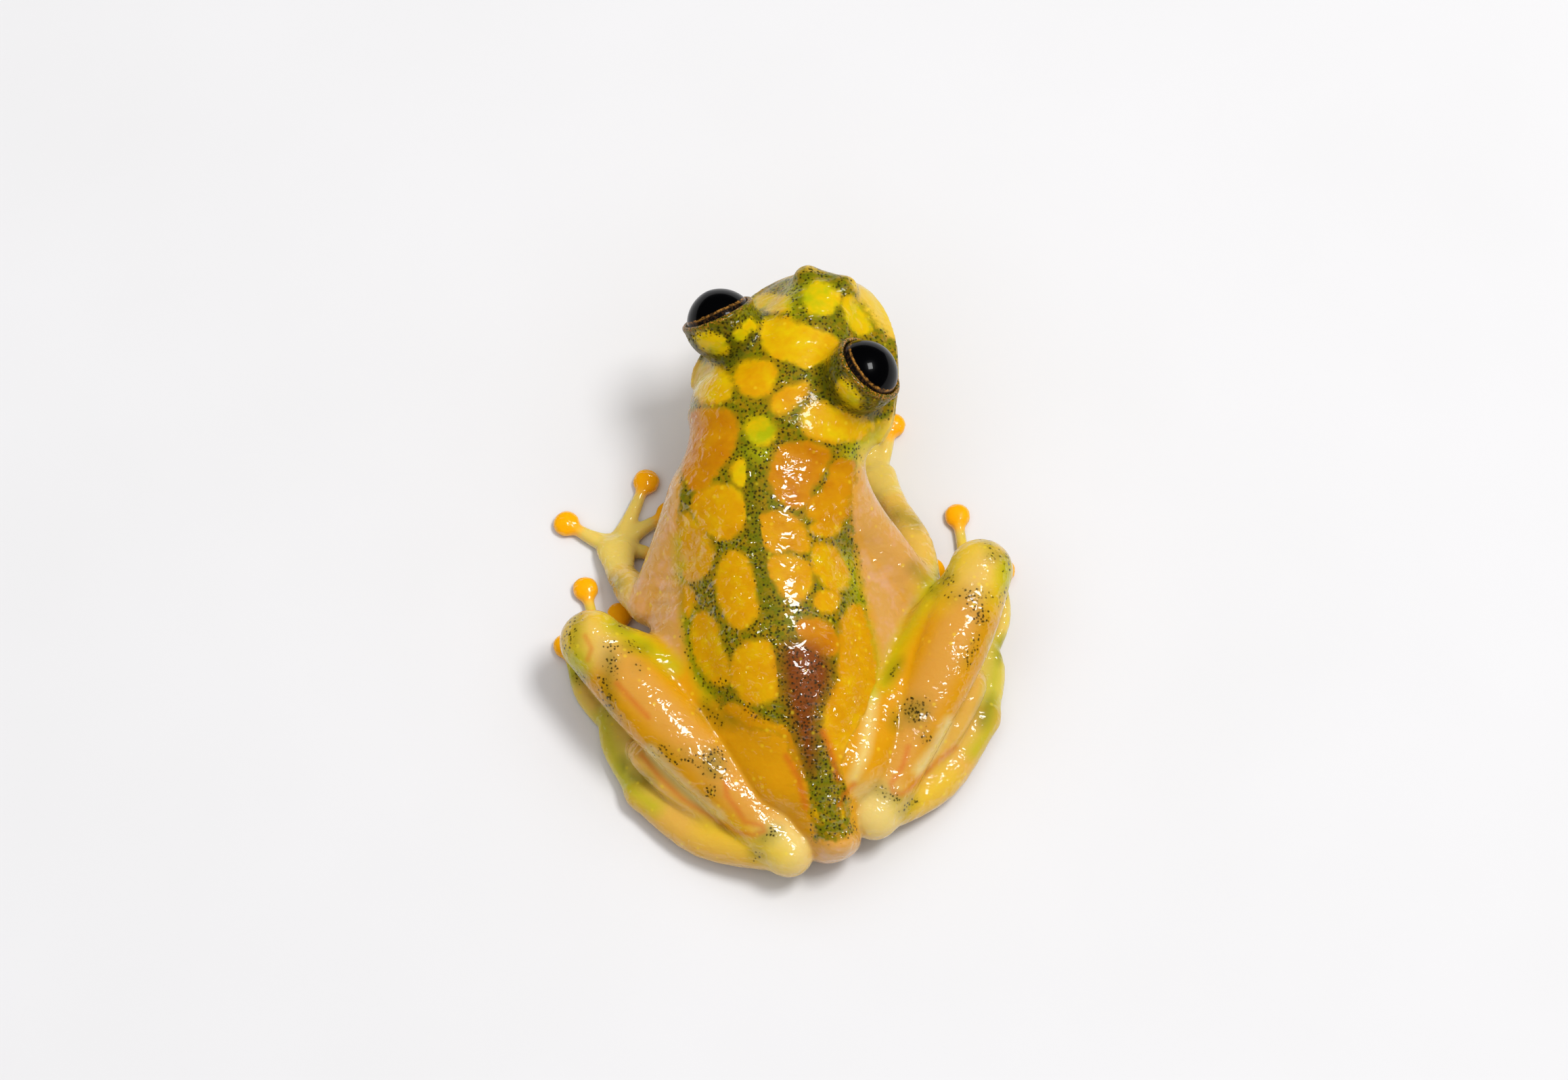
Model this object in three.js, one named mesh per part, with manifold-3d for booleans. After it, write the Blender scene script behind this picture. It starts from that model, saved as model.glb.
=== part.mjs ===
// A glass frog at life size, resting with folded hind legs and its head turned to its right.
// Millimetres, +Z up, the frog faces +Y, its left side is towards -X.
// Every node is a swept body of flesh, parted from the next one by a thin cut.

import * as THREE from 'three';
import { mergeVertices } from 'three/addons/utils/BufferGeometryUtils.js';
import Module from 'manifold-3d';

// Driving dimensions

const GAP = 0.26;              // clear width of the cut between two nodes
const FLOOR = 0;               // level of the ground that the frog rests on
const SPAN_STEPS = 2;          // rings of flesh between two named stations
const CAP_RINGS = 2;           // rings that round off an end
const BODY_SIDES = 24;
const HEAD_SIDES = 24;
const LIMB_SIDES = 14;
const DIGIT_SIDES = 8;

const EYE_RADIUS = 1.22;
const EYE_HALF_SPACING = 2.78; // from the middle of the head to the middle of an eye
const EYE_HEIGHT = 6.9;
const EYE_GAZE = [0.55, 0.545, 0.63];
const LID_RADIUS = 1.36;       // the hood of skin that carries each eye
const LID_ROLL = 0.15;         // thickness of the rolled margin of the lids
const LID_PLANE = 0.3;         // how far in front of the eye's middle the lid margin stands

const NOSTRIL = { side: 0.74, forward: 2.96, height: 6.3, bump: 0.42, pit: 0.14 };
const MOUTH = { height: 4.98, lip: 0.26, inset: 0.12, groove: 0.12, corner: 1.95, rays: 12 };

const FINGER = { half: 0.27, pad: 0.47, padHeight: 0.3 };
const TOE = { half: 0.26, pad: 0.45, padHeight: 0.3 };
const WEB_THICKNESS = 0.36;

// The head sits in a frame of its own: across, forward, up
const HEAD = { x: 0.315, y: 4.455, yaw: -21.4, roll: -9 };

// Colours of the skin as seen from a step away
const SKIN = {
  back: '#c79a18',
  flank: '#dcb196',
  leg: '#dfa443',
  hand: '#e2c069',
  pad: '#fbb900',
  eye: '#0b0b0d',
};

const SIDES = ['left', 'right'];

// Stations of the trunk, from the neck to the vent:
// x, y, height of the back, of the widest level and of the belly, half widths above and below
const TRUNK = [
  [-0.15, 2.9, 7.05, 5.3, 3.5, 2.8, 2.85],
  [-0.4, 1.4, 6.95, 4.8, 2.8, 2.95, 3.0],
  [-0.55, -0.3, 6.55, 4.1, 1.9, 3.1, 3.2],
  [-0.6, -2.0, 6.1, 3.4, 1.0, 2.95, 3.4],
  [-0.35, -3.8, 5.6, 2.6, 0.1, 3.1, 4.35],
  [-0.05, -5.6, 5.15, 2.15, -0.2, 3.15, 4.5],
  [0.35, -7.4, 4.65, 1.95, -0.2, 2.9, 3.4],
  [0.8, -9.2, 4.0, 1.9, -0.15, 2.05, 2.15],
  [1.3, -10.8, 3.25, 1.75, 0.05, 1.3, 1.45],
  [1.8, -12.2, 2.55, 1.4, 0.35, 0.8, 0.95],
];
const WAIST = { x: 0.55, y: -8.2, lean: -16 };   // where the torso is parted from the rump
const NECK = { x: -0.1, y: 1.6, lean: -12 };     // where the head is parted from the torso

// Stations of the head along its own forward axis, the other columns as on the trunk
const SKULL = [
  [-2.8, 7.05, 5.0, 3.5, 2.75, 3.05],
  [-2.0, 7.15, 4.95, 3.4, 2.85, 3.35],
  [-1.1, 7.25, 4.85, 3.45, 2.75, 3.75],
  [0.0, 7.3, 4.9, 3.6, 2.45, 3.6],
  [1.1, 7.25, 5.0, 3.85, 2.1, 3.25],
  [2.1, 7.1, 5.1, 4.15, 1.75, 2.75],
  [2.9, 6.9, 5.2, 4.4, 1.4, 2.1],
  [3.35, 6.65, 5.3, 4.6, 1.15, 1.5],
];

// Joints of the limbs and the tips of the digits
const ARM = {
  left: {
    shoulder: [-3.1, -0.2, 4.1],
    elbow: [-4.85, -3.25, 1.75],
    forearm: [-5.35, -2.5, 1.3],
    wrist: [-5.8, -1.7, 0.75],
    palm: [-6.0, -0.6, 0.42],
    fingers: [[-4.3, -0.9], [-4.1, 0.9], [-4.94, 2.14], [-7.79, 0.51]],
  },
  right: {
    shoulder: [2.1, -0.2, 4.2],
    elbow: [5.0, -2.9, 1.75],
    forearm: [4.65, -0.9, 1.45],
    wrist: [3.85, 1.1, 0.8],
    palm: [3.35, 2.2, 0.42],
    fingers: [[1.7, 2.5], [1.6, 4.3], [2.6, 5.6], [3.9, 4.35]],
  },
};
const LEG = {
  left: {
    hip: [0.0, -9.8, 2.1],
    thigh: [-3.0, -6.8, 1.9],
    knee: [-6.75, -5.05, 2.75],
    calf: [-4.6, -7.6, 2.75],
    heel: [0.16, -12.4, 1.35],
    sole: [-2.75, -11.6, 0.72],
    ankle: [-4.9, -9.9, 0.6],
    instep: [-5.65, -7.9, 0.45],
    toes: [[-4.1, -6.5], [-4.85, -4.6], [-5.85, -3.0], [-7.08, -2.02], [-7.75, -4.2]],
  },
  right: {
    hip: [2.25, -9.4, 2.1],
    thigh: [4.3, -6.1, 1.8],
    knee: [6.95, -2.35, 2.75],
    calf: [5.95, -5.2, 2.75],
    heel: [3.16, -11.05, 1.45],
    sole: [5.4, -9.5, 0.72],
    ankle: [6.95, -7.1, 0.6],
    instep: [7.0, -5.2, 0.45],
    toes: [[4.85, -4.9], [4.95, -3.1], [5.3, -1.3], [6.21, 0.81], [7.8, -1.3]],
  },
};

// Half width and half height of each limb at its stations
const GIRTH = {
  upperArm: [[0.85, 0.9], [0.78, 0.76], [0.66, 0.64]],
  forearm: [[0.6, 0.6], [0.66, 0.6], [0.44, 0.4]],
  palm: [[0.5, 0.4], [0.74, 0.42]],
  thigh: [[1.45, 1.35], [1.35, 1.25], [0.95, 0.9]],
  shank: [[1.14, 1.02], [1.24, 1.02], [1.04, 0.9], [0.9, 0.84]],
  tarsus: [[0.74, 0.66], [0.78, 0.64], [0.68, 0.5]],
  foot: [[0.6, 0.46], [0.84, 0.42], [0.8, 0.34]],
};

const wasm = await Module();
wasm.setup();

const vec = (p) => new THREE.Vector3(p[0], p[1], p[2]);
const mid = (a, b, t = 0.5) => a.map((value, i) => value + (b[i] - value) * t);
const degrees = (angle) => THREE.MathUtils.degToRad(angle);
const opposite = (normal) => normal.map((value) => -value);

// Solids

function solid(geometry) {
  const bare = geometry.index ? geometry : geometry.clone();
  bare.deleteAttribute('normal');
  bare.deleteAttribute('uv');
  const merged = mergeVertices(bare, 1e-5);
  const mesh = new wasm.Mesh({
    numProp: 3,
    vertProperties: new Float32Array(merged.attributes.position.array),
    triVerts: new Uint32Array(merged.index.array),
  });
  return new wasm.Manifold(mesh);
}

function largest(body) {
  const pieces = body.decompose();
  return pieces.reduce((best, piece) => (piece.volume() > best.volume() ? piece : best));
}

function toGeometry(body) {
  const mesh = body.getMesh();
  const geometry = new THREE.BufferGeometry();
  geometry.setAttribute('position', new THREE.BufferAttribute(mesh.vertProperties, 3));
  geometry.setIndex(new THREE.BufferAttribute(mesh.triVerts, 1));
  return geometry;
}

// Keeps the side of a plane that its normal points to
function trim(body, point, normal, clearance) {
  const unit = vec(normal).normalize();
  return body.trimByPlane(unit.toArray(), unit.dot(vec(point)) + clearance);
}

// Smooth run of numbers through the rows of a table, with a few steps in each span
function resample(rows, steps = SPAN_STEPS) {
  const at = (i) => rows[Math.min(Math.max(i, 0), rows.length - 1)];
  const result = [];
  for (let i = 0; i < rows.length - 1; i += 1) {
    for (let k = 0; k < steps; k += 1) {
      const t = k / steps;
      result.push(rows[i].map((_, c) => {
        const slopeA = (at(i + 1)[c] - at(i - 1)[c]) / 2;
        const slopeB = (at(i + 2)[c] - at(i)[c]) / 2;
        const rise = at(i + 1)[c] - at(i)[c];
        const cubic = slopeA + slopeB - 2 * rise;
        return at(i)[c] + slopeA * t + (3 * rise - 2 * slopeA - slopeB) * t * t + cubic * t ** 3;
      }));
    }
  }
  result.push(rows[rows.length - 1]);
  return result;
}

// A ring is [x, y, z, half width above, half width below, height above, depth below]
// The section is an ellipse whose lower part may be wider than its upper part
function sectionPoint(ring, angle, scale) {
  const up = Math.cos(angle);
  const blend = THREE.MathUtils.smoothstep(up, -0.2, 0.75);
  const half = ring[3] * blend + ring[4] * (1 - blend);
  return [Math.sin(angle) * half * scale, up * (up > 0 ? ring[5] : ring[6]) * scale];
}

// Sweeps the section along the rings, with rounded ends of the given bluntness
function sweep(rings, sides, caps = [1, 1], capRings = CAP_RINGS) {
  const centres = rings.map((ring) => vec(ring));
  const last = rings.length - 1;
  const frames = rings.map((ring, i) => {
    const along = centres[Math.min(i + 1, last)].clone().sub(centres[Math.max(i - 1, 0)]);
    along.normalize();
    const across = along.clone().cross(new THREE.Vector3(0, 0, 1)).normalize();
    return { along, across, up: across.clone().cross(along) };
  });
  const stack = [];
  const place = (i, shift, scale) => stack.push({ i, shift, scale });
  const reach = (i, cap) => cap * Math.min(rings[i][3], rings[i][4], rings[i][5] * 1.5);
  for (let k = 1; k <= capRings; k += 1) {
    const turn = (Math.PI / 2) * (k / (capRings + 1));
    place(0, -reach(0, caps[0]) * Math.cos(turn), Math.sin(turn));
  }
  rings.forEach((_, i) => place(i, 0, 1));
  for (let k = capRings; k >= 1; k -= 1) {
    const turn = (Math.PI / 2) * (k / (capRings + 1));
    place(last, reach(last, caps[1]) * Math.cos(turn), Math.sin(turn));
  }
  const positions = [];
  stack.forEach(({ i, shift, scale }) => {
    for (let s = 0; s < sides; s += 1) {
      const [x, z] = sectionPoint(rings[i], (s / sides) * 2 * Math.PI, scale);
      const point = centres[i].clone().addScaledVector(frames[i].along, shift);
      point.addScaledVector(frames[i].across, x).addScaledVector(frames[i].up, z);
      positions.push(...point.toArray());
    }
  });
  const tips = [
    centres[0].clone().addScaledVector(frames[0].along, -reach(0, caps[0])),
    centres[last].clone().addScaledVector(frames[last].along, reach(last, caps[1])),
  ];
  tips.forEach((tip) => positions.push(...tip.toArray()));
  const first = stack.length * sides;
  const index = [];
  for (let s = 0; s < sides; s += 1) {
    const next = (s + 1) % sides;
    for (let row = 0; row < stack.length - 1; row += 1) {
      const a = row * sides;
      const b = a + sides;
      index.push(a + s, a + next, b + s, a + next, b + next, b + s);
    }
    const end = (stack.length - 1) * sides;
    index.push(first, next, s, first + 1, end + s, end + next);
  }
  const geometry = new THREE.BufferGeometry();
  geometry.setAttribute('position', new THREE.Float32BufferAttribute(positions, 3));
  geometry.setIndex(index);
  return geometry;
}

// Rings of a limb from its joints and girths, made thicker by what a neighbour must keep clear
function limbRings(points, girths, grow = 0) {
  const rows = points.map((p, i) => {
    const girth = girths[Math.min(i, girths.length - 1)];
    return [...p, girth[0] + grow, girth[0] + grow, girth[1] + grow, girth[1] + grow];
  });
  return resample(rows);
}

const limb = (points, girths, sides = LIMB_SIDES) => (grow = 0) => (
  solid(sweep(limbRings(points, girths, grow), sides))
);

const ball = (centre, radius, detail = 14) => {
  const sphere = new THREE.SphereGeometry(radius, detail, Math.round(detail * 0.6));
  return solid(sphere.rotateX(Math.PI / 2).translate(...centre));
};

// Trunk

function trunkRings(grow) {
  return resample(TRUNK.map(([x, y, top, wide, bottom, above, below]) => (
    [x, y, wide, above + grow, below + grow, top - wide + grow, wide - bottom + grow]
  )));
}

const trunk = (grow = 0) => solid(sweep(trunkRings(grow), BODY_SIDES, [0.4, 0.7]));

function planeNormal({ lean }) {
  return [Math.sin(degrees(-lean)), Math.cos(degrees(lean)), 0];
}

// Head

const headPlace = new THREE.Matrix4().makeTranslation(HEAD.x, HEAD.y, 0)
  .multiply(new THREE.Matrix4().makeRotationZ(degrees(HEAD.yaw)))
  .multiply(new THREE.Matrix4().makeTranslation(0, 0, EYE_HEIGHT))
  .multiply(new THREE.Matrix4().makeRotationY(degrees(HEAD.roll)))
  .multiply(new THREE.Matrix4().makeTranslation(0, 0, -EYE_HEIGHT));

const inHead = (body) => body.transform(headPlace.elements.slice());

const skullRings = resample(SKULL.map(([y, top, wide, bottom, above, below]) => (
  [0, y, wide, above, below, top - wide, wide - bottom]
)));

// How far out the side of the head reaches at a height, in a direction seen from above
function cheek(angle, height) {
  const inside = (x, y) => {
    const front = skullRings[skullRings.length - 1];
    const i = skullRings.findIndex((ring) => ring[1] > y);
    const ring = i < 0 ? front : skullRings[Math.max(i, 1)];
    const past = Math.max(0, y - front[1]) / (0.35 * front[3]);
    const rise = height - ring[2];
    const up = rise / (rise > 0 ? ring[5] : ring[6]);
    const blend = THREE.MathUtils.smoothstep(up, -0.2, 0.75);
    const half = ring[3] * blend + ring[4] * (1 - blend);
    return (x / half) ** 2 + up ** 2 + past ** 2 < 1;
  };
  let near = 0;
  let far = 6;
  for (let k = 0; k < 30; k += 1) {
    const r = (near + far) / 2;
    if (inside(Math.sin(angle) * r, Math.cos(angle) * r)) near = r;
    else far = r;
  }
  return near;
}

function mouthCurve(push) {
  const points = [];
  for (let k = 0; k <= MOUTH.rays; k += 1) {
    const angle = MOUTH.corner * ((2 * k) / MOUTH.rays - 1);
    const r = cheek(angle, MOUTH.height) + push;
    const drop = 0.35 * (angle / MOUTH.corner) ** 4;
    points.push([Math.sin(angle) * r, Math.cos(angle) * r, MOUTH.height - drop]);
  }
  return points;
}

function tube(points, radius, sides = 5) {
  const rings = points.map((p) => [...p, radius, radius, radius, radius]);
  return solid(sweep(rings, sides, [1, 1], 1));
}

function eyeFrame(side) {
  const sign = side === 'left' ? -1 : 1;
  const centre = [sign * EYE_HALF_SPACING, 0, EYE_HEIGHT];
  const gaze = vec([sign * EYE_GAZE[0], EYE_GAZE[1], EYE_GAZE[2]]).normalize();
  return { centre, gaze };
}

// The hood behind an eye and the rolled margin of its lids
function lids(side) {
  const { centre, gaze } = eyeFrame(side);
  const hood = trim(ball(centre, LID_RADIUS, 16), centre, opposite(gaze.toArray()), -LID_PLANE);
  const margin = new THREE.TorusGeometry(LID_RADIUS - LID_ROLL * 0.7, LID_ROLL, 5, 18);
  margin.applyQuaternion(new THREE.Quaternion().setFromUnitVectors(new THREE.Vector3(0, 0, 1), gaze));
  margin.translate(...vec(centre).addScaledVector(gaze, LID_PLANE - LID_ROLL).toArray());
  return hood.add(solid(margin));
}

function eye(side) {
  const { centre, gaze } = eyeFrame(side);
  const globe = ball(centre, EYE_RADIUS, 18);
  return inHead(trim(globe, centre, gaze.toArray(), LID_PLANE + GAP));
}

function head() {
  let body = solid(sweep(skullRings, HEAD_SIDES, [0.3, 0.35]));
  body = body.add(tube(mouthCurve(-MOUTH.inset), MOUTH.lip));
  body = body.subtract(tube(mouthCurve(MOUTH.lip - MOUTH.inset), MOUTH.groove));
  for (const side of SIDES) {
    const sign = side === 'left' ? -1 : 1;
    const spot = [sign * NOSTRIL.side, NOSTRIL.forward, NOSTRIL.height];
    const pit = [sign * (NOSTRIL.side + 0.2), NOSTRIL.forward + 0.3, NOSTRIL.height + 0.26];
    body = body.add(ball(spot, NOSTRIL.bump, 10)).subtract(ball(pit, NOSTRIL.pit, 8));
  }
  for (const side of SIDES) {
    const { centre, gaze } = eyeFrame(side);
    const clear = trim(ball(centre, EYE_RADIUS + GAP, 16), centre, gaze.toArray(), LID_PLANE);
    body = body.add(lids(side)).subtract(clear);
  }
  return inHead(body);
}

// Limbs

// The plane that parts two segments at a joint, square to the mean of their directions
function jointNormal(before, joint, after) {
  const arriving = vec(joint).sub(vec(before)).normalize();
  const leaving = vec(after).sub(vec(joint)).normalize();
  return arriving.add(leaving).normalize().toArray();
}

function part(first, second, joint, normal) {
  return [
    trim(first, joint, opposite(normal), GAP / 2),
    trim(second, joint, normal, GAP / 2),
  ];
}

// One digit from its root to the disc at its tip
function digit(root, tip, size, bow) {
  const start = [root[0], root[1], size.half * 0.9];
  const end = [...tip, size.half * 0.8];
  const half = mid(start, end, 0.5);
  half[0] += bow * (end[1] - start[1]);
  half[1] -= bow * (end[0] - start[0]);
  const neck = mid(half, end, 0.7);
  const shaft = (grow) => (
    tube([start, mid(start, half), half, neck, end], size.half + grow, DIGIT_SIDES)
  );
  const run = vec(end).sub(vec(neck)).normalize().multiplyScalar(size.pad * 0.35);
  const disc = [vec(end).sub(run).toArray(), vec(end).add(run).toArray()];
  const pad = limb(disc, [[size.pad, size.padHeight]], DIGIT_SIDES)();
  return { body: shaft(0).add(pad), clear: shaft(GAP * 0.8), knuckle: half, root: start };
}

// Skin stretched between two neighbouring digits
function web(palm, a, b) {
  const shape = new THREE.Shape();
  const sag = mid(mid(a, b), palm, 0.38);
  shape.moveTo(palm[0], palm[1]);
  shape.lineTo(a[0], a[1]);
  shape.quadraticCurveTo(sag[0], sag[1], b[0], b[1]);
  shape.closePath();
  const sheet = new THREE.ExtrudeGeometry(shape, {
    depth: WEB_THICKNESS,
    bevelEnabled: false,
    curveSegments: 4,
  });
  return solid(sheet);
}

// A palm or sole with its digits: the roots stay with it, the free ends become their own nodes
function paw(plate, centre, tips, size, bows) {
  const digits = tips.map((tip, i) => digit(centre, tip, size, bows[i]));
  const plateClear = plate(GAP);
  const away = ({ knuckle, root }) => vec(knuckle).sub(vec(root)).normalize().toArray();
  let base = plate();
  digits.forEach((one) => {
    base = base.add(trim(one.body, one.knuckle, opposite(away(one)), GAP / 2));
  });
  for (let i = 0; i < digits.length - 1; i += 1) {
    const ends = [digits[i], digits[i + 1]].map((d) => mid(d.root, d.knuckle, 0.72));
    base = base.add(web(centre, ends[0], ends[1]));
  }
  digits.forEach((one) => {
    base = base.subtract(trim(one.clear, one.knuckle, away(one), GAP / 2));
  });
  const free = digits.map((one) => (
    trim(one.body, one.knuckle, away(one), GAP / 2).subtract(plateClear)
  ));
  return { base, free };
}

const bodies = new Map();
const material = new Map();
const armClear = {};

function keep(name, body, colour) {
  bodies.set(name, body);
  material.set(name, colour);
}

const trunkClear = trunk(GAP);
const neck = [NECK.x, NECK.y, 0];
const waist = [WAIST.x, WAIST.y, 0];
const wholeHead = head();
const chest = trim(trunk(), neck, opposite(planeNormal(NECK)), GAP / 2);

keep('head', trim(wholeHead.add(trunk()), neck, planeNormal(NECK), GAP / 2), SKIN.back);
keep('eye_left', eye('left'), SKIN.eye);
keep('eye_right', eye('right'), SKIN.eye);
keep('torso', trim(chest, waist, planeNormal(WAIST), GAP / 2), SKIN.back);
keep('rump', trim(trunk(), waist, opposite(planeNormal(WAIST)), GAP / 2), SKIN.back);

for (const side of SIDES) {
  const { shoulder, elbow, forearm: middle, wrist, palm, fingers } = ARM[side];
  const upperShape = limb([shoulder, mid(shoulder, elbow), elbow], GIRTH.upperArm);
  const foreShape = limb([elbow, middle, wrist], GIRTH.forearm);
  const upper = upperShape();
  const fore = foreShape();
  armClear[side] = upperShape(GAP).add(foreShape(GAP));
  const outward = side === 'left' ? -1 : 1;
  const plate = limb([wrist, palm], GIRTH.palm);
  const hand = paw(plate, palm, fingers, FINGER, [0.1 * outward, 0.05 * outward, 0, 0]);
  const bend = jointNormal(shoulder, elbow, middle);
  const [upperArm, foreTop] = part(upper, fore, elbow, bend);
  const [forearm, handPlate] = part(foreTop, hand.base, wrist, jointNormal(elbow, wrist, palm));
  keep(`upper_arm_${side}`, upperArm.subtract(trunkClear), SKIN.flank);
  keep(`forearm_${side}`, forearm.subtract(trunkClear), SKIN.hand);
  keep(`hand_${side}`, handPlate.subtract(trunkClear), SKIN.hand);
  hand.free.forEach((finger, i) => {
    keep(`finger_${side}_${i + 1}`, finger.subtract(trunkClear), SKIN.pad);
  });
}

for (const side of SIDES) {
  const leg = LEG[side];
  const thighPath = [leg.hip, leg.thigh, leg.knee];
  const shankPath = [leg.knee, leg.calf, mid(leg.calf, leg.heel, 0.55), leg.heel];
  const thigh = limb(thighPath, GIRTH.thigh)();
  const shank = limb(shankPath, GIRTH.shank);
  const tarsus = limb([leg.heel, leg.sole, leg.ankle], GIRTH.tarsus)();
  const tread = mid(leg.instep, [...leg.toes[2], leg.instep[2]], 0.3);
  const outward = side === 'left' ? -1 : 1;
  const plate = limb([leg.ankle, leg.instep, tread], GIRTH.foot);
  const foot = paw(plate, leg.instep, leg.toes, TOE, [-0.06 * outward, 0, 0, 0, 0.1 * outward]);
  const turn = jointNormal(leg.sole, leg.ankle, leg.instep);
  const [tarsusCut, footCut] = part(tarsus, foot.base, leg.ankle, turn);
  const shankClear = shank(GAP);
  keep(`shank_${side}`, shank().subtract(trunkClear), SKIN.leg);
  const thighCut = thigh.subtract(trunkClear).subtract(shankClear);
  keep(`thigh_${side}`, thighCut.subtract(armClear[side]), SKIN.leg);
  keep(`tarsus_${side}`, tarsusCut.subtract(trunkClear).subtract(shankClear), SKIN.leg);
  keep(`foot_${side}`, footCut.subtract(shankClear), SKIN.hand);
  foot.free.forEach((toe, i) => keep(`toe_${side}_${i + 1}`, toe.subtract(shankClear), SKIN.pad));
}

// Everything below the ground is cut away, so that the frog rests on small flats
const extent = new THREE.Box3();
for (const [name, body] of bodies) {
  const standing = largest(body.trimByPlane([0, 0, 1], FLOOR));
  const { min, max } = standing.boundingBox();
  extent.expandByPoint(vec(min)).expandByPoint(vec(max));
  bodies.set(name, standing);
}

// The origin is on the ground, under the middle of the frog's outline
const middle = extent.getCenter(new THREE.Vector3());
const frog = new THREE.Group();
for (const [name, body] of bodies) {
  const mesh = new THREE.Mesh(
    toGeometry(body.translate(-middle.x, -middle.y, -FLOOR)),
    new THREE.MeshStandardMaterial({ color: material.get(name), roughness: 0.35, metalness: 0 }),
  );
  mesh.name = name;
  frog.add(mesh);
}

export default frog;
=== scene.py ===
"""A glass frog at life size, resting on a pale floor with its hind legs folded.

The whole skin is one closed mesh. It is modelled as clay: every part of the
body is a swept solid, the solids are blended into each other on a grid, and
the surface of the clay becomes the mesh. The eyes are pieces of their own.
Lengths are in millimetres until a mesh is handed to Blender.
"""

import logging
import math
from collections.abc import Callable
from dataclasses import dataclass, field
from enum import Enum
from functools import partial

import bpy
import numpy as np
from mathutils import Matrix, Vector


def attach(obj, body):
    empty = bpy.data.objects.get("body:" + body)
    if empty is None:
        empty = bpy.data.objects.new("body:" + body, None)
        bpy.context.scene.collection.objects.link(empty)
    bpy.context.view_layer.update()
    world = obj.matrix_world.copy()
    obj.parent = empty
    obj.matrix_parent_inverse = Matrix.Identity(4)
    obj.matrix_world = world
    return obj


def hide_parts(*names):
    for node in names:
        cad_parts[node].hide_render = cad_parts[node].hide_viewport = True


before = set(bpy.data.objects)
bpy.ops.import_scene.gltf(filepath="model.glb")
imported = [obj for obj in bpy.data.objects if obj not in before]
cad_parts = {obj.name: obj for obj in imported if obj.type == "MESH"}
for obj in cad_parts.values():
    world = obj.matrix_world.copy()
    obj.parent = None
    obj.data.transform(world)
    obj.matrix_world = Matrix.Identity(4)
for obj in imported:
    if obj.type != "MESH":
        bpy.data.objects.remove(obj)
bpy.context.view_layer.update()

Array = np.ndarray
Socket = bpy.types.NodeSocket
MM = 0.001
# The middle of the frog's outline, which is where the model's origin stands
ORIGIN = np.array([-0.067, -2.560, 0.0])
# Edge of a grid cell of the clay
CELL = 0.075
# Distance that stands for "nothing near"
FAR = 9.0
# Settings that many nodes share
EASE = {"interpolation_type": "SMOOTHSTEP"}
ADD = {"operation": "ADD"}
MINUS = {"operation": "SUBTRACT"}
TIMES = {"operation": "MULTIPLY"}
TIMES_ADD = {"operation": "MULTIPLY_ADD"}


class Side(Enum):
    """The frog's own left and right; the value is the sign of X in its own frame."""

    LEFT = -1
    RIGHT = 1


class Zone(Enum):
    """Parts of the body that the skin is marked by."""

    TRUNK = 1
    HEAD = 2
    UPPER_ARM = 3
    FOREARM = 4
    HAND = 5
    THIGH = 6
    SHANK = 7
    TARSUS = 8
    FOOT = 9


class Mask(Enum):
    """Marks of the skin that are stored on its points, from 0 to 1."""

    DORSUM = "dorsum"
    SPOT = "spot"
    WARM = "warm"
    GREEN = "green"
    STAR = "star"
    PURPLE = "purple"
    FLUSH = "flush"
    MUSCLE = "muscle"
    LIME = "lime"
    BRIGHT = "bright"
    PALE = "pale"
    PAD = "pad"
    VEIN = "vein"
    UNSEEN = "unseen"
    LID = "lid"
    CREASE = "crease"
    SMOOTH = "smooth"
    # Painted shade over the hoods of the eyes, together with the dark pigment of the lid margins
    DUSK = "dusk"
    GLOSS = "gloss"


# Small tools


def linear(code: str) -> tuple[float, float, float, float]:
    """Turn an sRGB hex code into a linear colour.

    Args:
        code: the colour as "#rrggbb".

    Returns:
        Red, green, blue and an alpha of 1.
    """
    parts = [int(code[i : i + 2], 16) / 255 for i in (1, 3, 5)]
    bent = [c / 12.92 if c <= 0.04045 else ((c + 0.055) / 1.055) ** 2.4 for c in parts]
    return (bent[0], bent[1], bent[2], 1.0)


def add_node(
    tree: bpy.types.NodeTree,
    kind: str,
    settings: dict | None = None,
    sockets: dict | tuple = (),
    output: int | str = 0,
) -> Socket | None:
    """Add a shader node with its settings, and link or set its sockets.

    Args:
        tree: the node tree.
        kind: Blender's name of the node type, less the ShaderNode in front.
        settings: properties of the node.
        sockets: what goes into it, by name or number or in order: a socket or a value.
        output: name or number of the output that is wanted.

    Returns:
        That output, or None if the node has none.
    """
    node = tree.nodes.new(f"ShaderNode{kind}")
    for name, value in (settings or {}).items():
        setattr(node, name, value)
    if isinstance(sockets, tuple):
        sockets = dict(enumerate(sockets))
    for socket, value in sockets.items():
        if isinstance(value, Socket):
            tree.links.new(value, node.inputs[socket])
        else:
            node.inputs[socket].default_value = value
    return node.outputs[output] if node.outputs else None


def start_material(name: str) -> tuple[bpy.types.Material, Callable]:
    """Make a material with no nodes in it.

    Args:
        name: the material's name.

    Returns:
        The material, and add_node for its nodes.
    """
    material = bpy.data.materials.new(name)
    material.use_nodes = True
    material.node_tree.nodes.clear()
    return material, partial(add_node, material.node_tree)


def in_millimetres(add: Callable) -> Socket:
    """Read the place on the piece, in millimetres."""
    place = add("TexCoord", None, (), "Object")
    return add("VectorMath", {"operation": "SCALE"}, {0: place, "Scale": 1 / MM})


def lay_colours(add: Callable, colour: Socket | str, *layers: tuple) -> Socket:
    """Lay colours over each other.

    Args:
        add: add_node for the material.
        colour: the lowest colour, a hex code or a socket.
        layers: pairs of a share and the colour that is laid on with it.

    Returns:
        The socket with the colour on top.
    """
    for share, over in layers:
        pair = [linear(c) if isinstance(c, str) else c for c in (colour, over)]
        colour = add("Mix", {"data_type": "RGBA"}, {0: share, 6: pair[0], 7: pair[1]}, 2)
    return colour


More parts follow.
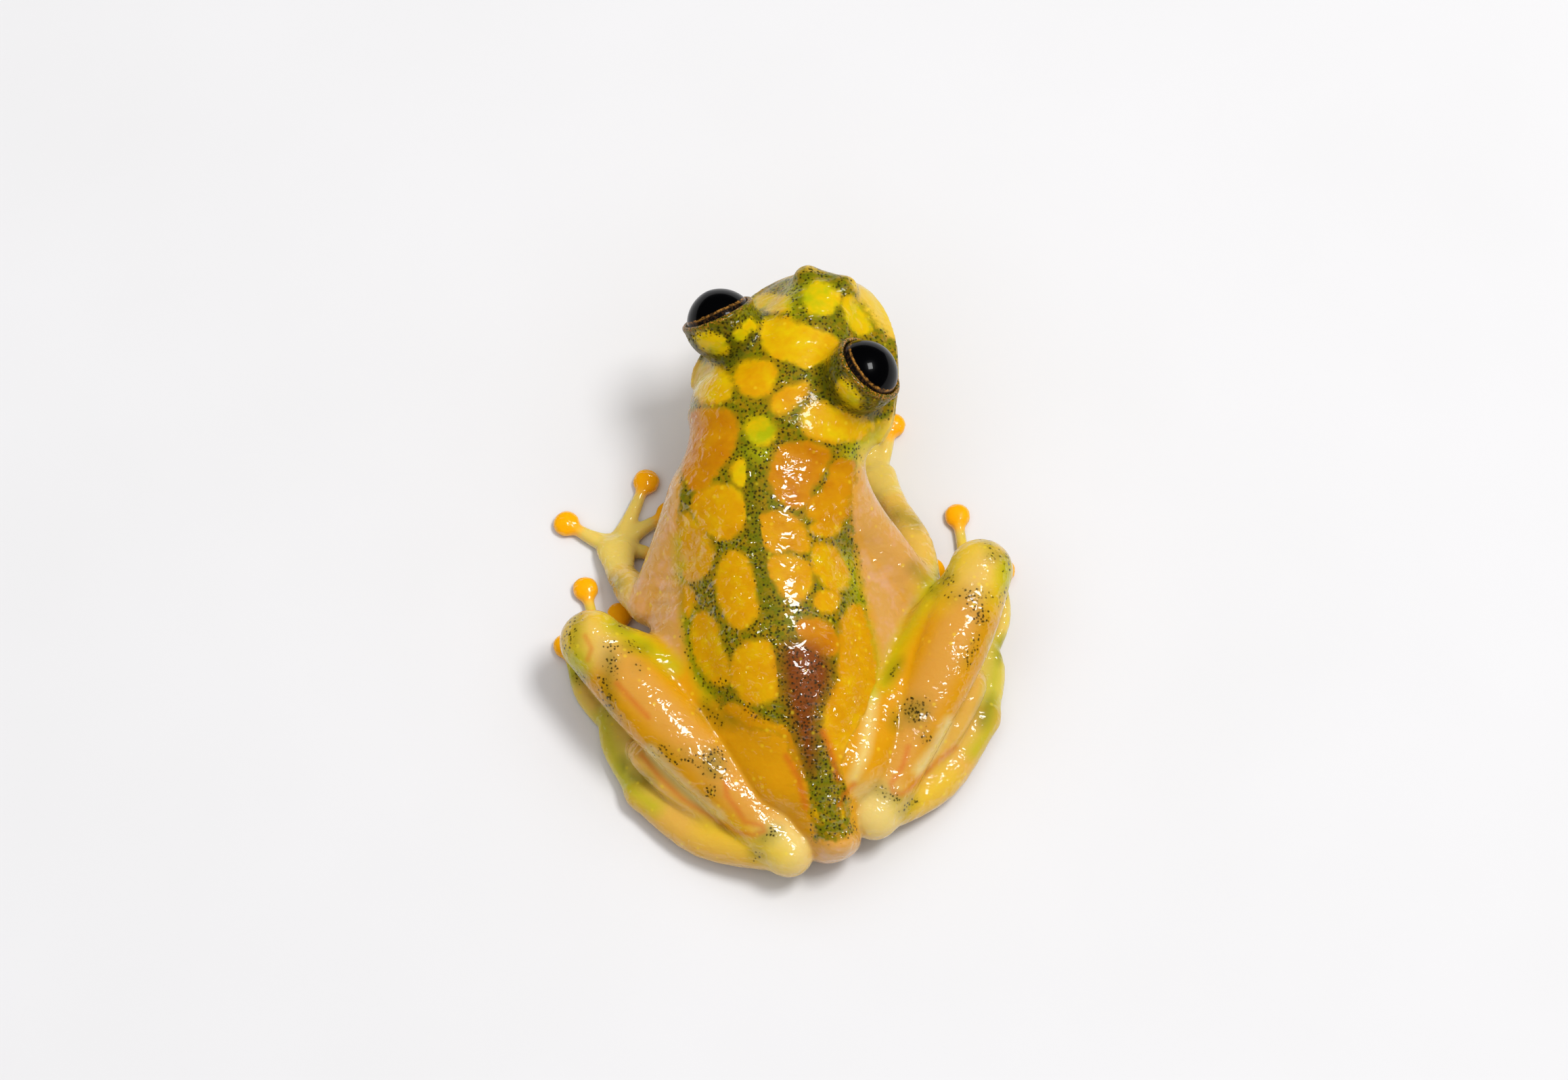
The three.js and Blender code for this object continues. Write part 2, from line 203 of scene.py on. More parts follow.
def smoothstep(value: Array, low: float, high: float) -> Array:
    """Ease from 0 at low to 1 at high."""
    t = np.clip((value - low) / (high - low), 0, 1)
    return t * t * (3 - 2 * t)


def smooth_min(a: Array, b: Array, blend: float) -> Array:
    """Blend two distances, so that their solids run into each other.

    Args:
        a: distance to the first solid.
        b: distance to the second solid.
        blend: width of the fillet between them.

    Returns:
        Distance to the joined solid.
    """
    overlap = np.maximum(blend - np.abs(a - b), 0) / blend
    return np.minimum(a, b) - overlap * overlap * blend * 0.25


def resample(rows: Array, steps: int) -> Array:
    """Run a smooth curve through the rows of a table.

    Args:
        rows: one row of numbers for each station.
        steps: rows wanted for each span between two stations.

    Returns:
        The finer table, first and last row included.
    """
    rows = np.asarray(rows, float)
    last = len(rows) - 1
    result = []
    for i in range(last):
        a, b = rows[i], rows[i + 1]
        slope_a = (b - rows[max(i - 1, 0)]) / 2
        slope_b = (rows[min(i + 2, last)] - a) / 2
        for k in range(steps):
            t = k / steps
            cubic = slope_a + slope_b - 2 * (b - a)
            square = 3 * (b - a) - 2 * slope_a - slope_b
            result.append(a + slope_a * t + square * t * t + cubic * t**3)
    result.append(rows[last])
    return np.array(result)


def between(a: Array, b: Array, share: float = 0.5) -> Array:
    """The point at a share of the way from a to b."""
    return np.asarray(a, float) * (1 - share) + np.asarray(b, float) * share


# The way the frog is seen


@dataclass(frozen=True)
class Viewpoint:
    """The camera above and behind the frog, looking down at its back."""

    elevation: float = 67.5
    distance: float = 250.0
    target: tuple[float, float, float] = (0.0, -1.7, 4.0)
    pixels_per_mm: float = 42.0
    width: int = 2317
    height: int = 1596
    sensor: float = 36.0

    def axes(self) -> tuple[Array, Array, Array]:
        """Right, up and backward directions of the camera."""
        e = math.radians(self.elevation)
        right = np.array([1.0, 0.0, 0.0])
        up = np.array([0.0, math.sin(e), math.cos(e)])
        back = np.array([0.0, -math.cos(e), math.sin(e)])
        return right, up, back

    def position(self) -> Array:
        """Where the camera stands."""
        return np.array(self.target) + self.distance * self.axes()[2]

    def project(self, points: Array) -> tuple[Array, Array]:
        """Find where points fall in the picture.

        Args:
            points: an n by 3 array.

        Returns:
            Pixels to the right and pixels down, from the upper left corner.
        """
        right, up, back = self.axes()
        offset = points - self.position()
        scale = self.pixels_per_mm * self.distance / -(offset @ back)
        return (
            self.width / 2 + scale * (offset @ right),
            self.height / 2 - scale * (offset @ up),
        )

    def build(self) -> bpy.types.Object:
        """Make the camera.

        Returns:
            The camera object, set as the scene's camera.
        """
        data = bpy.data.cameras.new("viewpoint")
        data.sensor_width = self.sensor
        data.lens = self.sensor * self.pixels_per_mm * self.distance / self.width
        data.clip_start = 0.01
        data.clip_end = 5.0
        camera = bpy.data.objects.new("viewpoint", data)
        bpy.context.scene.collection.objects.link(camera)
        right, up, back = self.axes()
        turn = Matrix([right, up, back]).transposed().to_4x4()
        place = Vector((self.position() - ORIGIN) * MM)
        camera.matrix_world = Matrix.Translation(place) @ turn
        bpy.context.scene.camera = camera
        return camera


VIEW = Viewpoint()


# Clay


@dataclass
class Sweep:
    """A solid swept along stations: x, y, z, half width above and below, height, depth."""

    stations: Array
    caps: tuple[float, float] = (1.0, 1.0)
    place: Array = field(default_factory=lambda: np.eye(4))
    steps: int = 5

    def __post_init__(self) -> None:
        """Refine the stations and stand a frame on each."""
        self.rings = resample(self.stations, self.steps)
        centres = self.rings[:, :3]
        along = np.empty_like(centres)
        along[1:-1] = centres[2:] - centres[:-2]
        along[0] = centres[1] - centres[0]
        along[-1] = centres[-1] - centres[-2]
        along /= np.linalg.norm(along, axis=1, keepdims=True)
        across = np.cross(along, [0.0, 0.0, 1.0])
        across /= np.linalg.norm(across, axis=1, keepdims=True)
        upward = np.cross(across, along)
        turn = self.place[:3, :3]
        self.centres = centres @ turn.T + self.place[:3, 3]
        self.across = across @ turn.T
        self.upward = upward @ turn.T

    def box(self, margin: float) -> tuple[Array, Array]:
        """Lowest and highest corner, with a margin."""
        reach = self.rings[:, 3:].max(axis=1, keepdims=True) + margin
        return (self.centres - reach).min(axis=0), (self.centres + reach).max(axis=0)

    def span(self, i: int, x: Array, y: Array, z: Array) -> Array:
        """Distance to the piece between two rings.

        Args:
            i: number of the first ring.
            x: coordinates that broadcast with y and z.
            y: the same.
            z: the same.

        Returns:
            Distance, negative inside.
        """
        a, b = self.centres[i], self.centres[i + 1]
        run = b - a
        px, py, pz = x - a[0], y - a[1], z - a[2]
        share = (px * run[0] + py * run[1] + pz * run[2]) / float(run @ run)
        share = np.clip(share, 0, 1)
        dx, dy, dz = px - share * run[0], py - share * run[1], pz - share * run[2]
        offsets = []
        for axes in (self.across, self.upward):
            start, change = axes[i], axes[i + 1] - axes[i]
            first = dx * start[0] + dy * start[1] + dz * start[2]
            second = dx * change[0] + dy * change[1] + dz * change[2]
            offsets.append(first + share * second)
        side, rise = offsets
        square = dx * dx + dy * dy + dz * dz
        rest = np.maximum(square - side * side - rise * rise, 0)
        first, second = self.rings[i, 3:], self.rings[i + 1, 3:]
        above, below, height, depth = (
            first[k] + share * (second[k] - first[k]) for k in range(4)
        )
        tall = np.where(rise > 0, height, depth)
        level = rise / tall
        middle = (above + below) / 2
        steep = level / np.sqrt(level * level + (side / middle) ** 2 + 1e-6)
        lean = smoothstep(steep, -0.2, 0.75)
        half = above * lean + below * (1 - lean)
        blunt = np.minimum(np.minimum(above, below), height * 1.5)
        blunt = blunt * np.where(share <= 0, self.caps[0], 1.0)
        blunt = blunt * np.where(share >= 1, self.caps[1], 1.0)
        stretch = (side / half) ** 2 + level * level + rest / (blunt * blunt)
        stretch = np.sqrt(stretch) + 1e-5
        length = np.sqrt(square) + 1e-5 * half
        return length - length / stretch

    def distance(self, points: Array) -> Array:
        """Distance from an n by 3 array of points, negative inside."""
        x, y, z = points.T
        spans = [self.span(i, x, y, z) for i in range(len(self.rings) - 1)]
        return np.min(spans, axis=0)


@dataclass
class Clay:
    """A grid of distances to the surface, and of which part each point is nearest to."""

    low: Array
    high: Array
    cell: float

    def __post_init__(self) -> None:
        """Lay out the empty grid."""
        counts = np.ceil((self.high - self.low) / self.cell).astype(int) + 1
        self.axes = [
            (self.low[k] + self.cell * np.arange(counts[k])).astype(np.float32)
            for k in range(3)
        ]
        self.level = np.full(counts, FAR, np.float32)
        self.owner = np.zeros(counts, np.uint8)

    def window(self, low: Array, high: Array, limit: tuple | None = None) -> tuple:
        """Pick the part of the grid inside a box.

        Args:
            low: lowest corner.
            high: highest corner.
            limit: slices that the result stays within.

        Returns:
            The slices of the grid, and its x, y and z there, ready to broadcast.
        """
        picks = []
        for k in range(3):
            first = int(np.searchsorted(self.axes[k], low[k]))
            last = int(np.searchsorted(self.axes[k], high[k]))
            if limit:
                first = max(first, limit[k].start)
                last = max(min(last, limit[k].stop), first)
            picks.append(slice(first, last))
        spots = [self.axes[k][picks[k]] for k in range(3)]
        return tuple(picks), (
            spots[0][:, None, None],
            spots[1][None, :, None],
            spots[2][None, None, :],
        )

    def measure(self, sweep: Sweep, margin: float = 1.0) -> tuple[tuple, Array]:
        """Distance to a swept solid on the grid around it.

        Args:
            sweep: the solid.
            margin: how far outside the solid the distance is wanted.

        Returns:
            The slices of the grid and the distances there.
        """
        picks, _ = self.window(*sweep.box(margin))
        shape = [p.stop - p.start for p in picks]
        found = np.full(shape, FAR, np.float32)
        for i in range(len(sweep.rings) - 1):
            ends = sweep.centres[i : i + 2]
            reach = sweep.rings[i : i + 2, 3:].max() + margin
            low, high = ends.min(axis=0) - reach, ends.max(axis=0) + reach
            inner, (x, y, z) = self.window(low, high, picks)
            local = tuple(
                slice(part.start - whole.start, part.stop - whole.start)
                for part, whole in zip(inner, picks)
            )
            found[local] = np.minimum(found[local], sweep.span(i, x, y, z))
        return picks, found

    def join(
        self, picks: tuple, distance: Array, blend: float, zone: Zone | None = None
    ) -> None:
        """Add a solid to the clay.

        Args:
            picks: slices of the grid.
            distance: distance to the solid there.
            blend: width of the fillet.
            zone: the part it belongs to, or None to leave the clay's own.
        """
        here = self.level[picks]
        if zone:
            self.owner[picks] = np.where(distance < here, zone.value, self.owner[picks])
        self.level[picks] = smooth_min(here, distance, blend)

    def add(
        self, sweep: Sweep, blend: float, zone: Zone | None = None, margin: float = 1.0
    ) -> None:
        """Measure a swept solid and join it to the clay, with a margin around it."""
        self.join(*self.measure(sweep, margin), blend, zone)

    def carve(self, picks: tuple, distance: Array, blend: float) -> None:
        """Take a solid out of the clay, with a rounded edge."""
        self.level[picks] = -smooth_min(-self.level[picks], distance, blend)

    def merge(self, other: "Clay", blend: float) -> None:
        """Join the clay of another grid of the same size.

        Args:
            other: the other clay.
            blend: width of the fillet.
        """
        nearer = other.level < self.level
        self.owner = np.where(nearer, other.owner, self.owner)
        self.level = smooth_min(self.level, other.level, blend)

    def sample(self, points: Array) -> Array:
        """Distance at points, read between the grid's points.

        Args:
            points: an n by 3 array.

        Returns:
            The distances.
        """
        place = (points - self.low) / self.cell
        whole = np.clip(place.astype(int), 0, np.array(self.level.shape) - 2)
        part = place - whole
        total = np.zeros(len(points))
        for corner in np.ndindex(2, 2, 2):
            weight = np.prod(np.where(corner, part, 1 - part), axis=1)
            total += weight * self.level[tuple((whole + corner).T)]
        return total

    def slope(self, points: Array) -> Array:
        """Direction in which the distance grows, at points.

        Args:
            points: an n by 3 array.

        Returns:
            An n by 3 array.
        """
        steps = np.eye(3) * self.cell * 0.6
        rise = [self.sample(points + s) - self.sample(points - s) for s in steps]
        return np.stack(rise, axis=1) / (1.2 * self.cell)

    def surface(self) -> tuple[Array, Array]:
        """Find the surface of the clay: one point in each cell that it passes through.

        Returns:
            The points, and the four-sided faces that join them.
        """
        level = self.level
        inside = level < 0
        count = np.zeros(np.array(level.shape) - 1, np.uint8)
        for cx, cy, cz in np.ndindex(2, 2, 2):
            nx, ny, nz = level.shape
            count += inside[cx : nx - 1 + cx, cy : ny - 1 + cy, cz : nz - 1 + cz]
        where = np.nonzero((count > 0) & (count < 8))
        cells = np.stack(where, axis=1)
        number = np.full(count.shape, -1, np.int32)
        number[where] = np.arange(len(cells))
        total = np.zeros((len(cells), 3))
        hits = np.zeros(len(cells))
        for axis in range(3):
            for corner in np.ndindex(2, 2):
                start = np.insert(np.array(corner), axis, 0)
                end = np.insert(np.array(corner), axis, 1)
                a = level[tuple((cells + start).T)]
                b = level[tuple((cells + end).T)]
                cross = (a < 0) != (b < 0)
                share = np.where(cross, a / np.where(cross, a - b, 1), 0)
                spot = start + share[:, None] * (end - start)
                total += spot * cross[:, None]
                hits += cross
        points = self.low + self.cell * (cells + total / hits[:, None])
        faces = []
        for axis in range(3):
            first, second = (axis + 1) % 3, (axis + 2) % 3
            near = [slice(1, -1)] * 3
            near[axis] = slice(0, -1)
            far = list(near)
            far[axis] = slice(1, None)
            leave = inside[tuple(near)]
            enter = inside[tuple(far)]
            for change, turn in ((leave & ~enter, 1), (enter & ~leave, -1)):
                edge = np.stack(np.nonzero(change), axis=1)
                edge[:, first] += 1
                edge[:, second] += 1
                ring = []
                for back in ((1, 1), (0, 1), (0, 0), (1, 0))[::turn]:
                    spot = edge.copy()
                    spot[:, first] -= back[0]
                    spot[:, second] -= back[1]
                    ring.append(number[tuple(spot.T)])
                faces.append(np.stack(ring, axis=1))
        return points, np.concatenate(faces)


@dataclass
class Weave:
    """Neighbours of each point of a mesh, for smoothing what the points carry."""

    faces: Array
    count: int

    def __post_init__(self) -> None:
        """List both directions of every edge."""
        a = self.faces.ravel()
        b = np.roll(self.faces, -1, axis=1).ravel()
        self.ends = np.concatenate([a, b])
        self.starts = np.concatenate([b, a])
        self.degree = np.maximum(np.bincount(self.ends, minlength=self.count), 1)

    def mean(self, values: Array) -> Array:
        """Mean of the neighbours' values, for each point.

        Args:
            values: a number or a row of numbers for each point.

        Returns:
            The same for their neighbours.
        """
        if values.ndim == 1:
            sums = np.bincount(self.ends, values[self.starts], self.count)
            return sums / self.degree
        return np.stack([self.mean(values[:, k]) for k in range(values.shape[1])], axis=1)

    def soften(self, values: Array, rounds: int, share: float = 0.5) -> Array:
        """Move each value towards its neighbours' mean, a number of times.

        Args:
            values: a number or a row of numbers for each point.
            rounds: how many times.
            share: how far to go each time.

        Returns:
            The softer values.
        """
        for _ in range(rounds):
            values = values + share * (self.mean(values) - values)
        return values

    def relax(self, points: Array, rounds: int) -> Array:
        """Smooth points without shrinking the shape.

        Args:
            points: an n by 3 array.
            rounds: how many times.

        Returns:
            The smoother points.
        """
        for _ in range(rounds):
            points = self.soften(points, 1, 0.5)
            points = self.soften(points, 1, -0.52)
        return points


# Marks of the skin, placed in the picture's pixels


@dataclass(frozen=True)
class Patch:
    """An oval mark: its middle, half width and half height, tilt and warmth."""

    place: tuple[float, float]
    half: tuple[float, float]
    tilt: float = 0.0
    warm: float = 0.35

    def reach(self, u: Array, v: Array) -> Array:
        """Measure how far inside the mark points lie.

        Args:
            u: pixels to the right.
            v: pixels down.

        Returns:
            Pixels from the rim, positive inside.
        """
        t = math.radians(self.tilt)
        du, dv = u - self.place[0], v - self.place[1]
        a = (du * math.cos(t) + dv * math.sin(t)) / self.half[0]
        b = (dv * math.cos(t) - du * math.sin(t)) / self.half[1]
        radius = np.sqrt(a * a + b * b) + 1e-6
        length = np.sqrt(du * du + dv * dv) + 1e-6
        return length / radius - length


@dataclass(frozen=True)
class Drawing:
    """Something drawn through points, given as pairs or as text: "x,y x,y"."""

    points: tuple[tuple[float, float], ...] | str

    def __post_init__(self) -> None:
        """Read the points."""
        if isinstance(self.points, str):
            pairs = [pair.split(",") for pair in self.points.split()]
            object.__setattr__(self, "points", tuple((float(x), float(y)) for x, y in pairs))

    def gap(self, u: Array, v: Array, start: tuple, end: tuple) -> Array:
        """Distance from a straight piece of the drawing.

        Args:
            u: pixels to the right.
            v: pixels down.
            start: first end of the piece.
            end: the other end.

        Returns:
            Pixels from the piece.
        """
        dx, dy = end[0] - start[0], end[1] - start[1]
        du, dv = u - start[0], v - start[1]
        share = np.clip((du * dx + dv * dy) / (dx * dx + dy * dy), 0, 1)
        return np.hypot(du - share * dx, dv - share * dy)


@dataclass(frozen=True)
class Stroke(Drawing):
    """A drawn line of the given half width."""

    half: float

    def reach(self, u: Array, v: Array) -> Array:
        """Pixels from the rim, positive inside."""
        pieces = zip(self.points, self.points[1:])
        return np.max([self.half - self.gap(u, v, a, b) for a, b in pieces], axis=0)


@dataclass(frozen=True)
class Outline(Drawing):
    """A closed outline."""

    def reach(self, u: Array, v: Array) -> Array:
        """Measure how far inside the outline points lie, in its own units.

        Args:
            u: distance to the right.
            v: distance down.

        Returns:
            Distance from the rim, positive inside.
        """
        best = np.full(np.shape(u), np.inf)
        inside = np.zeros(np.shape(u), bool)
        for start, end in zip(self.points, self.points[1:] + self.points[:1]):
            best = np.minimum(best, self.gap(u, v, start, end))
            (ax, ay), (bx, by) = start, end
            reach = ax + (v - ay) / (by - ay or 1e-9) * (bx - ax)
            inside ^= ((ay > v) != (by > v)) & (u < reach)
        return np.where(inside, best, -best)


@dataclass(frozen=True)
class Spot(Outline):
    """An uneven mark with rounded corners, and its warmth."""

    warm: float = 0.35

    def __post_init__(self) -> None:
        """Round the corners."""
        super().__post_init__()
        corners = np.array(self.points, float)
        for _ in range(2):
            after = np.roll(corners, -1, axis=0)
            near, late = between(corners, after, 0.25), between(corners, after, 0.75)
            corners = np.stack([near, late], axis=1).reshape(-1, 2)
        object.__setattr__(self, "points", tuple(map(tuple, corners)))


def paint(marks: tuple, u: Array, v: Array, soft: float) -> Array:
    """Turn marks into a mask that is 0.5 on their rims.

    Args:
        marks: patches, strokes or outlines.
        u: pixels to the right.
        v: pixels down.
        soft: pixels from the rim at which the mask is full or empty.

    Returns:
        The mask, from 0 to 1.
    """
    best = np.max([mark.reach(u, v) for mark in marks], axis=0)
    return np.clip(0.5 + best / (2 * soft), 0, 1)


# Parts of the body


@dataclass
class Trunk:
    """The body from the neck to the vent."""

    stations: tuple = (
        (-0.15, 2.9, 7.05, 5.3, 3.5, 2.8, 2.85),
        (-0.4, 1.4, 6.95, 4.8, 2.8, 2.95, 3.0),
        (-0.55, -0.3, 6.55, 4.1, 1.9, 3.1, 3.2),
        (-0.6, -2.0, 6.1, 3.4, 1.0, 2.95, 3.4),
        (-0.35, -3.8, 5.6, 2.6, 0.1, 3.1, 4.35),
        (-0.05, -5.6, 5.15, 2.15, -0.2, 3.15, 4.5),
        (0.35, -7.4, 4.65, 1.95, -0.2, 2.9, 3.4),
        (0.8, -9.2, 4.0, 1.9, -0.15, 2.05, 2.15),
        (1.3, -10.8, 3.25, 1.75, 0.05, 1.3, 1.45),
        (1.8, -12.2, 2.55, 1.4, 0.35, 0.8, 0.95),
    )

    def build(self, clay: Clay) -> None:
        """Lay the trunk into the clay.

        Args:
            clay: the clay of the body.
        """
        rows = [
            (x, y, wide, above, below, top - wide, wide - bottom)
            for x, y, top, wide, bottom, above, below in self.stations
        ]
        clay.add(Sweep(np.array(rows), (0.4, 0.7)), 0.1, Zone.TRUNK, 1.3)


@dataclass
class Head:
    """The skull with its mouth, nostrils and the hoods of the eyes."""

    middle: tuple[float, float] = (0.315, 4.455)
    yaw: float = -21.4
    roll: float = -9.0
    eye_radius: float = 1.22
    eye_spacing: float = 2.78
    eye_height: float = 6.9
    eye_forward: tuple[float, float] = (0.1, -0.28)
    gaze: tuple[float, float, float] = (0.55, 0.545, 0.63)
    lid_plane: float = 0.39
    lid_radius: float = 1.33
    lid_blend: float = 0.75
    lid_edge: float = 0.08
    lid_roll: float = 0.1
    roll_inset: tuple[float, float] = (0.02, 0.06)
    roll_blend: float = 0.12
    socket_gap: float = 0.012
    socket_depth: float = 0.5
    mouth_height: float = 4.98
    mouth_corner: float = 1.95
    mouth_drop: float = 0.35
    lip_push: float = 0.06
    lip_radius: float = 0.2
    slit_push: float = -0.16
    slit_radius: float = 0.085
    nostril_rim: tuple[float, float, float] = (0.74, 2.98, 6.36)
    nostril_hole: tuple[float, float, float] = (0.98, 3.2, 6.62)
    rim_radius: float = 0.4
    hole_radius: float = 0.12
    stations: tuple = (
        (-2.8, 7.05, 5.0, 3.5, 2.75, 3.05),
        (-2.0, 7.15, 4.95, 3.4, 2.85, 3.35),
        (-1.1, 7.25, 4.85, 3.45, 2.75, 3.75),
        (0.0, 7.3, 4.9, 3.6, 2.45, 3.6),
        (1.1, 7.25, 5.0, 3.85, 2.1, 3.25),
        (2.1, 7.1, 5.1, 4.15, 1.75, 2.75),
        (2.9, 6.9, 5.2, 4.4, 1.4, 2.1),
        (3.35, 6.65, 5.3, 4.6, 1.15, 1.5),
    )

    def __post_init__(self) -> None:
        """Stand the head's own frame: across, forward, up."""
        lift = Matrix.Translation((0, 0, self.eye_height))
        turn = (
            Matrix.Translation((self.middle[0], self.middle[1], 0))
            @ Matrix.Rotation(math.radians(self.yaw), 4, "Z")
            @ lift
            @ Matrix.Rotation(math.radians(self.roll), 4, "Y")
            @ lift.inverted()
        )
        self.place = np.array(turn)
        rows = [
            (0, y, wide, above, below, top - wide, wide - bottom)
            for y, top, wide, bottom, above, below in self.stations
        ]
        self.skull = Sweep(np.array(rows), (0.3, 0.35), self.place)

    def point(self, spot: Array) -> Array:
        """Move a point of the head's frame to the frog's."""
        return self.place[:3, :3] @ np.asarray(spot, float) + self.place[:3, 3]

    def paired(self, spot: tuple, side: Side) -> Array:
        """Move a point of the right side, or its mirror image, to the frog's frame."""
        return self.point([side.value * spot[0], spot[1], spot[2]])

    def own(self, points: Array) -> Array:
        """Move an n by 3 array of points to the head's frame."""
        return (points - self.place[:3, 3]) @ self.place[:3, :3]

    def eye(self, side: Side) -> tuple[Array, Array]:
        """Middle of an eye and the direction it looks in.

        Args:
            side: which eye.

        Returns:
            A point and a direction.
        """
        ahead = self.eye_forward[side is Side.RIGHT]
        centre = self.paired((self.eye_spacing, ahead, self.eye_height), side)
        gaze = np.array([side.value * self.gaze[0], self.gaze[1], self.gaze[2]])
        return centre, self.place[:3, :3] @ (gaze / np.linalg.norm(gaze))

    def mouth(self, push: float) -> Array:
        """Follow the line of the mouth around the snout.

        Args:
            push: how far outside the skull the line runs.

        Returns:
            Points of the line in the frog's frame.
        """
        angles = np.linspace(-self.mouth_corner, self.mouth_corner, 33)
        near, far = np.zeros(33), np.full(33, 6.0)
        for _ in range(24):
            r = (near + far) / 2
            drop = self.mouth_drop * (angles / self.mouth_corner) ** 4
            local = np.stack(
                [np.sin(angles) * r, np.cos(angles) * r, self.mouth_height - drop], axis=1
            )
            world = local @ self.place[:3, :3].T + self.place[:3, 3]
            within = self.skull.distance(world) < -push
            near = np.where(within, r, near)
            far = np.where(within, far, r)
        return world

    def ball(self, clay: Clay, centre: Array, radius: float, margin: float = 1.0) -> tuple:
        """Distance to a ball on the grid around it.

        Args:
            clay: the clay around it.
            centre: its middle.
            radius: its radius.
            margin: how far outside the ball the distance is wanted.

        Returns:
            The slices of the grid, and the distances and x, y and z there.
        """
        reach = radius + margin
        picks, (x, y, z) = clay.window(centre - reach, centre + reach)
        away = np.sqrt(
            (x - centre[0]) ** 2 + (y - centre[1]) ** 2 + (z - centre[2]) ** 2
        )
        return picks, away - radius, (x, y, z)

    def tube(self, points: Array, radius: float) -> Sweep:
        """A round tube through points."""
        girth = np.full((len(points), 4), radius)
        return Sweep(np.hstack([points, girth]), steps=1)

    def build(self, clay: Clay) -> None:
        """Lay the head into the clay.

        Args:
            clay: the clay of the body.
        """
        clay.add(self.skull, 1.0, Zone.HEAD, 1.3)
        lip = self.tube(self.mouth(self.lip_push), self.lip_radius)
        clay.add(lip, 0.25, margin=0.6)
        slit = self.tube(self.mouth(self.slit_push), self.slit_radius)
        clay.carve(*clay.measure(slit, 0.4), 0.08)
        for side in Side:
            self.build_lids(clay, side)
            self.build_nostril(clay, side)

    def build_lids(self, clay: Clay, side: Side) -> None:
        """Raise the hood of an eye, roll its margin and hollow the socket.

        Args:
            clay: the clay of the body.
            side: which eye.
        """
        centre, gaze = self.eye(side)
        picks, shell, (x, y, z) = self.ball(clay, centre, self.lid_radius)
        ahead = (x - centre[0]) * gaze[0] + (y - centre[1]) * gaze[1]
        ahead = ahead + (z - centre[2]) * gaze[2]
        hood = -smooth_min(-shell, self.lid_plane - ahead, self.lid_edge)
        clay.join(picks, hood, self.lid_blend, Zone.HEAD)
        away = np.sqrt(np.maximum((shell + self.lid_radius) ** 2 - ahead**2, 0))
        ring = math.sqrt(self.lid_radius**2 - self.lid_plane**2) - self.roll_inset[0]
        level = ahead - self.lid_plane + self.roll_inset[1]
        clay.join(picks, np.hypot(away - ring, level) - self.lid_roll, self.roll_blend)
        globe = shell + self.lid_radius - self.eye_radius - self.socket_gap
        front = np.maximum(globe, self.lid_plane - self.socket_depth - ahead)
        clay.carve(picks, front, 0.04)

    def build_nostril(self, clay: Clay, side: Side) -> None:
        """Raise the rim of a nostril and sink its opening.

        Args:
            clay: the clay of the body.
            side: which nostril.
        """
        rim = self.paired(self.nostril_rim, side)
        picks, distance, _ = self.ball(clay, rim, self.rim_radius)
        clay.join(picks, distance, 0.5)
        hole = self.paired(self.nostril_hole, side)
        picks, distance, _ = self.ball(clay, hole, self.hole_radius, 0.5)
        clay.carve(picks, distance, 0.1)


def limb(points: list, girths: tuple | list, steps: int = 5) -> Sweep:
    """A limb through its joints, with a half width and half height at each.

    Args:
        points: joints, each x, y, z.
        girths: half width and half height at each joint; the last one repeats.
        steps: rings for each span.

    Returns:
        The swept limb.
    """
    rows = []
    for i, point in enumerate(points):
        half, tall = girths[min(i, len(girths) - 1)]
        rows.append([*point, half, half, tall, tall])
    return Sweep(np.array(rows, float), steps=steps)


@dataclass
class Digit:
    """A finger or toe with its round disc."""

    root: tuple[float, float]
    tip: tuple[float, float]
    half: float
    pad: float
    bow: float = 0.0
    disc_height: float = 0.27

    def __post_init__(self) -> None:
        """Lay the digit's own line along the floor."""
        self.start = np.array([self.root[0], self.root[1], self.half * 0.95])
        self.end = np.array([self.tip[0], self.tip[1], self.half * 0.8])
        self.knuckle = between(self.start, self.end)
        run = self.end - self.start
        self.knuckle[0] += self.bow * run[1]
        self.knuckle[1] -= self.bow * run[0]

    def build(self, clay: Clay, zone: Zone) -> None:
        """Lay the digit into the clay.

        Args:
            clay: the clay of the limb.
            zone: the hand or the foot.
        """
        neck = between(self.knuckle, self.end, 0.7)
        line = [self.start, self.knuckle, neck, self.end]
        girths = [
            (self.half * 1.15, self.half),
            (self.half * 1.05, self.half * 0.95),
            (self.half * 0.82, self.half * 0.85),
            (self.half * 0.9, self.half * 0.8),
        ]
        clay.add(limb(line, girths), 0.22, zone, 0.8)
        run = self.end - neck
        run = run / np.linalg.norm(run) * self.pad * 0.12
        disc = limb([self.end - run, self.end + run], [(self.pad, self.disc_height)], 1)
        clay.add(disc, 0.16, zone, 0.8)


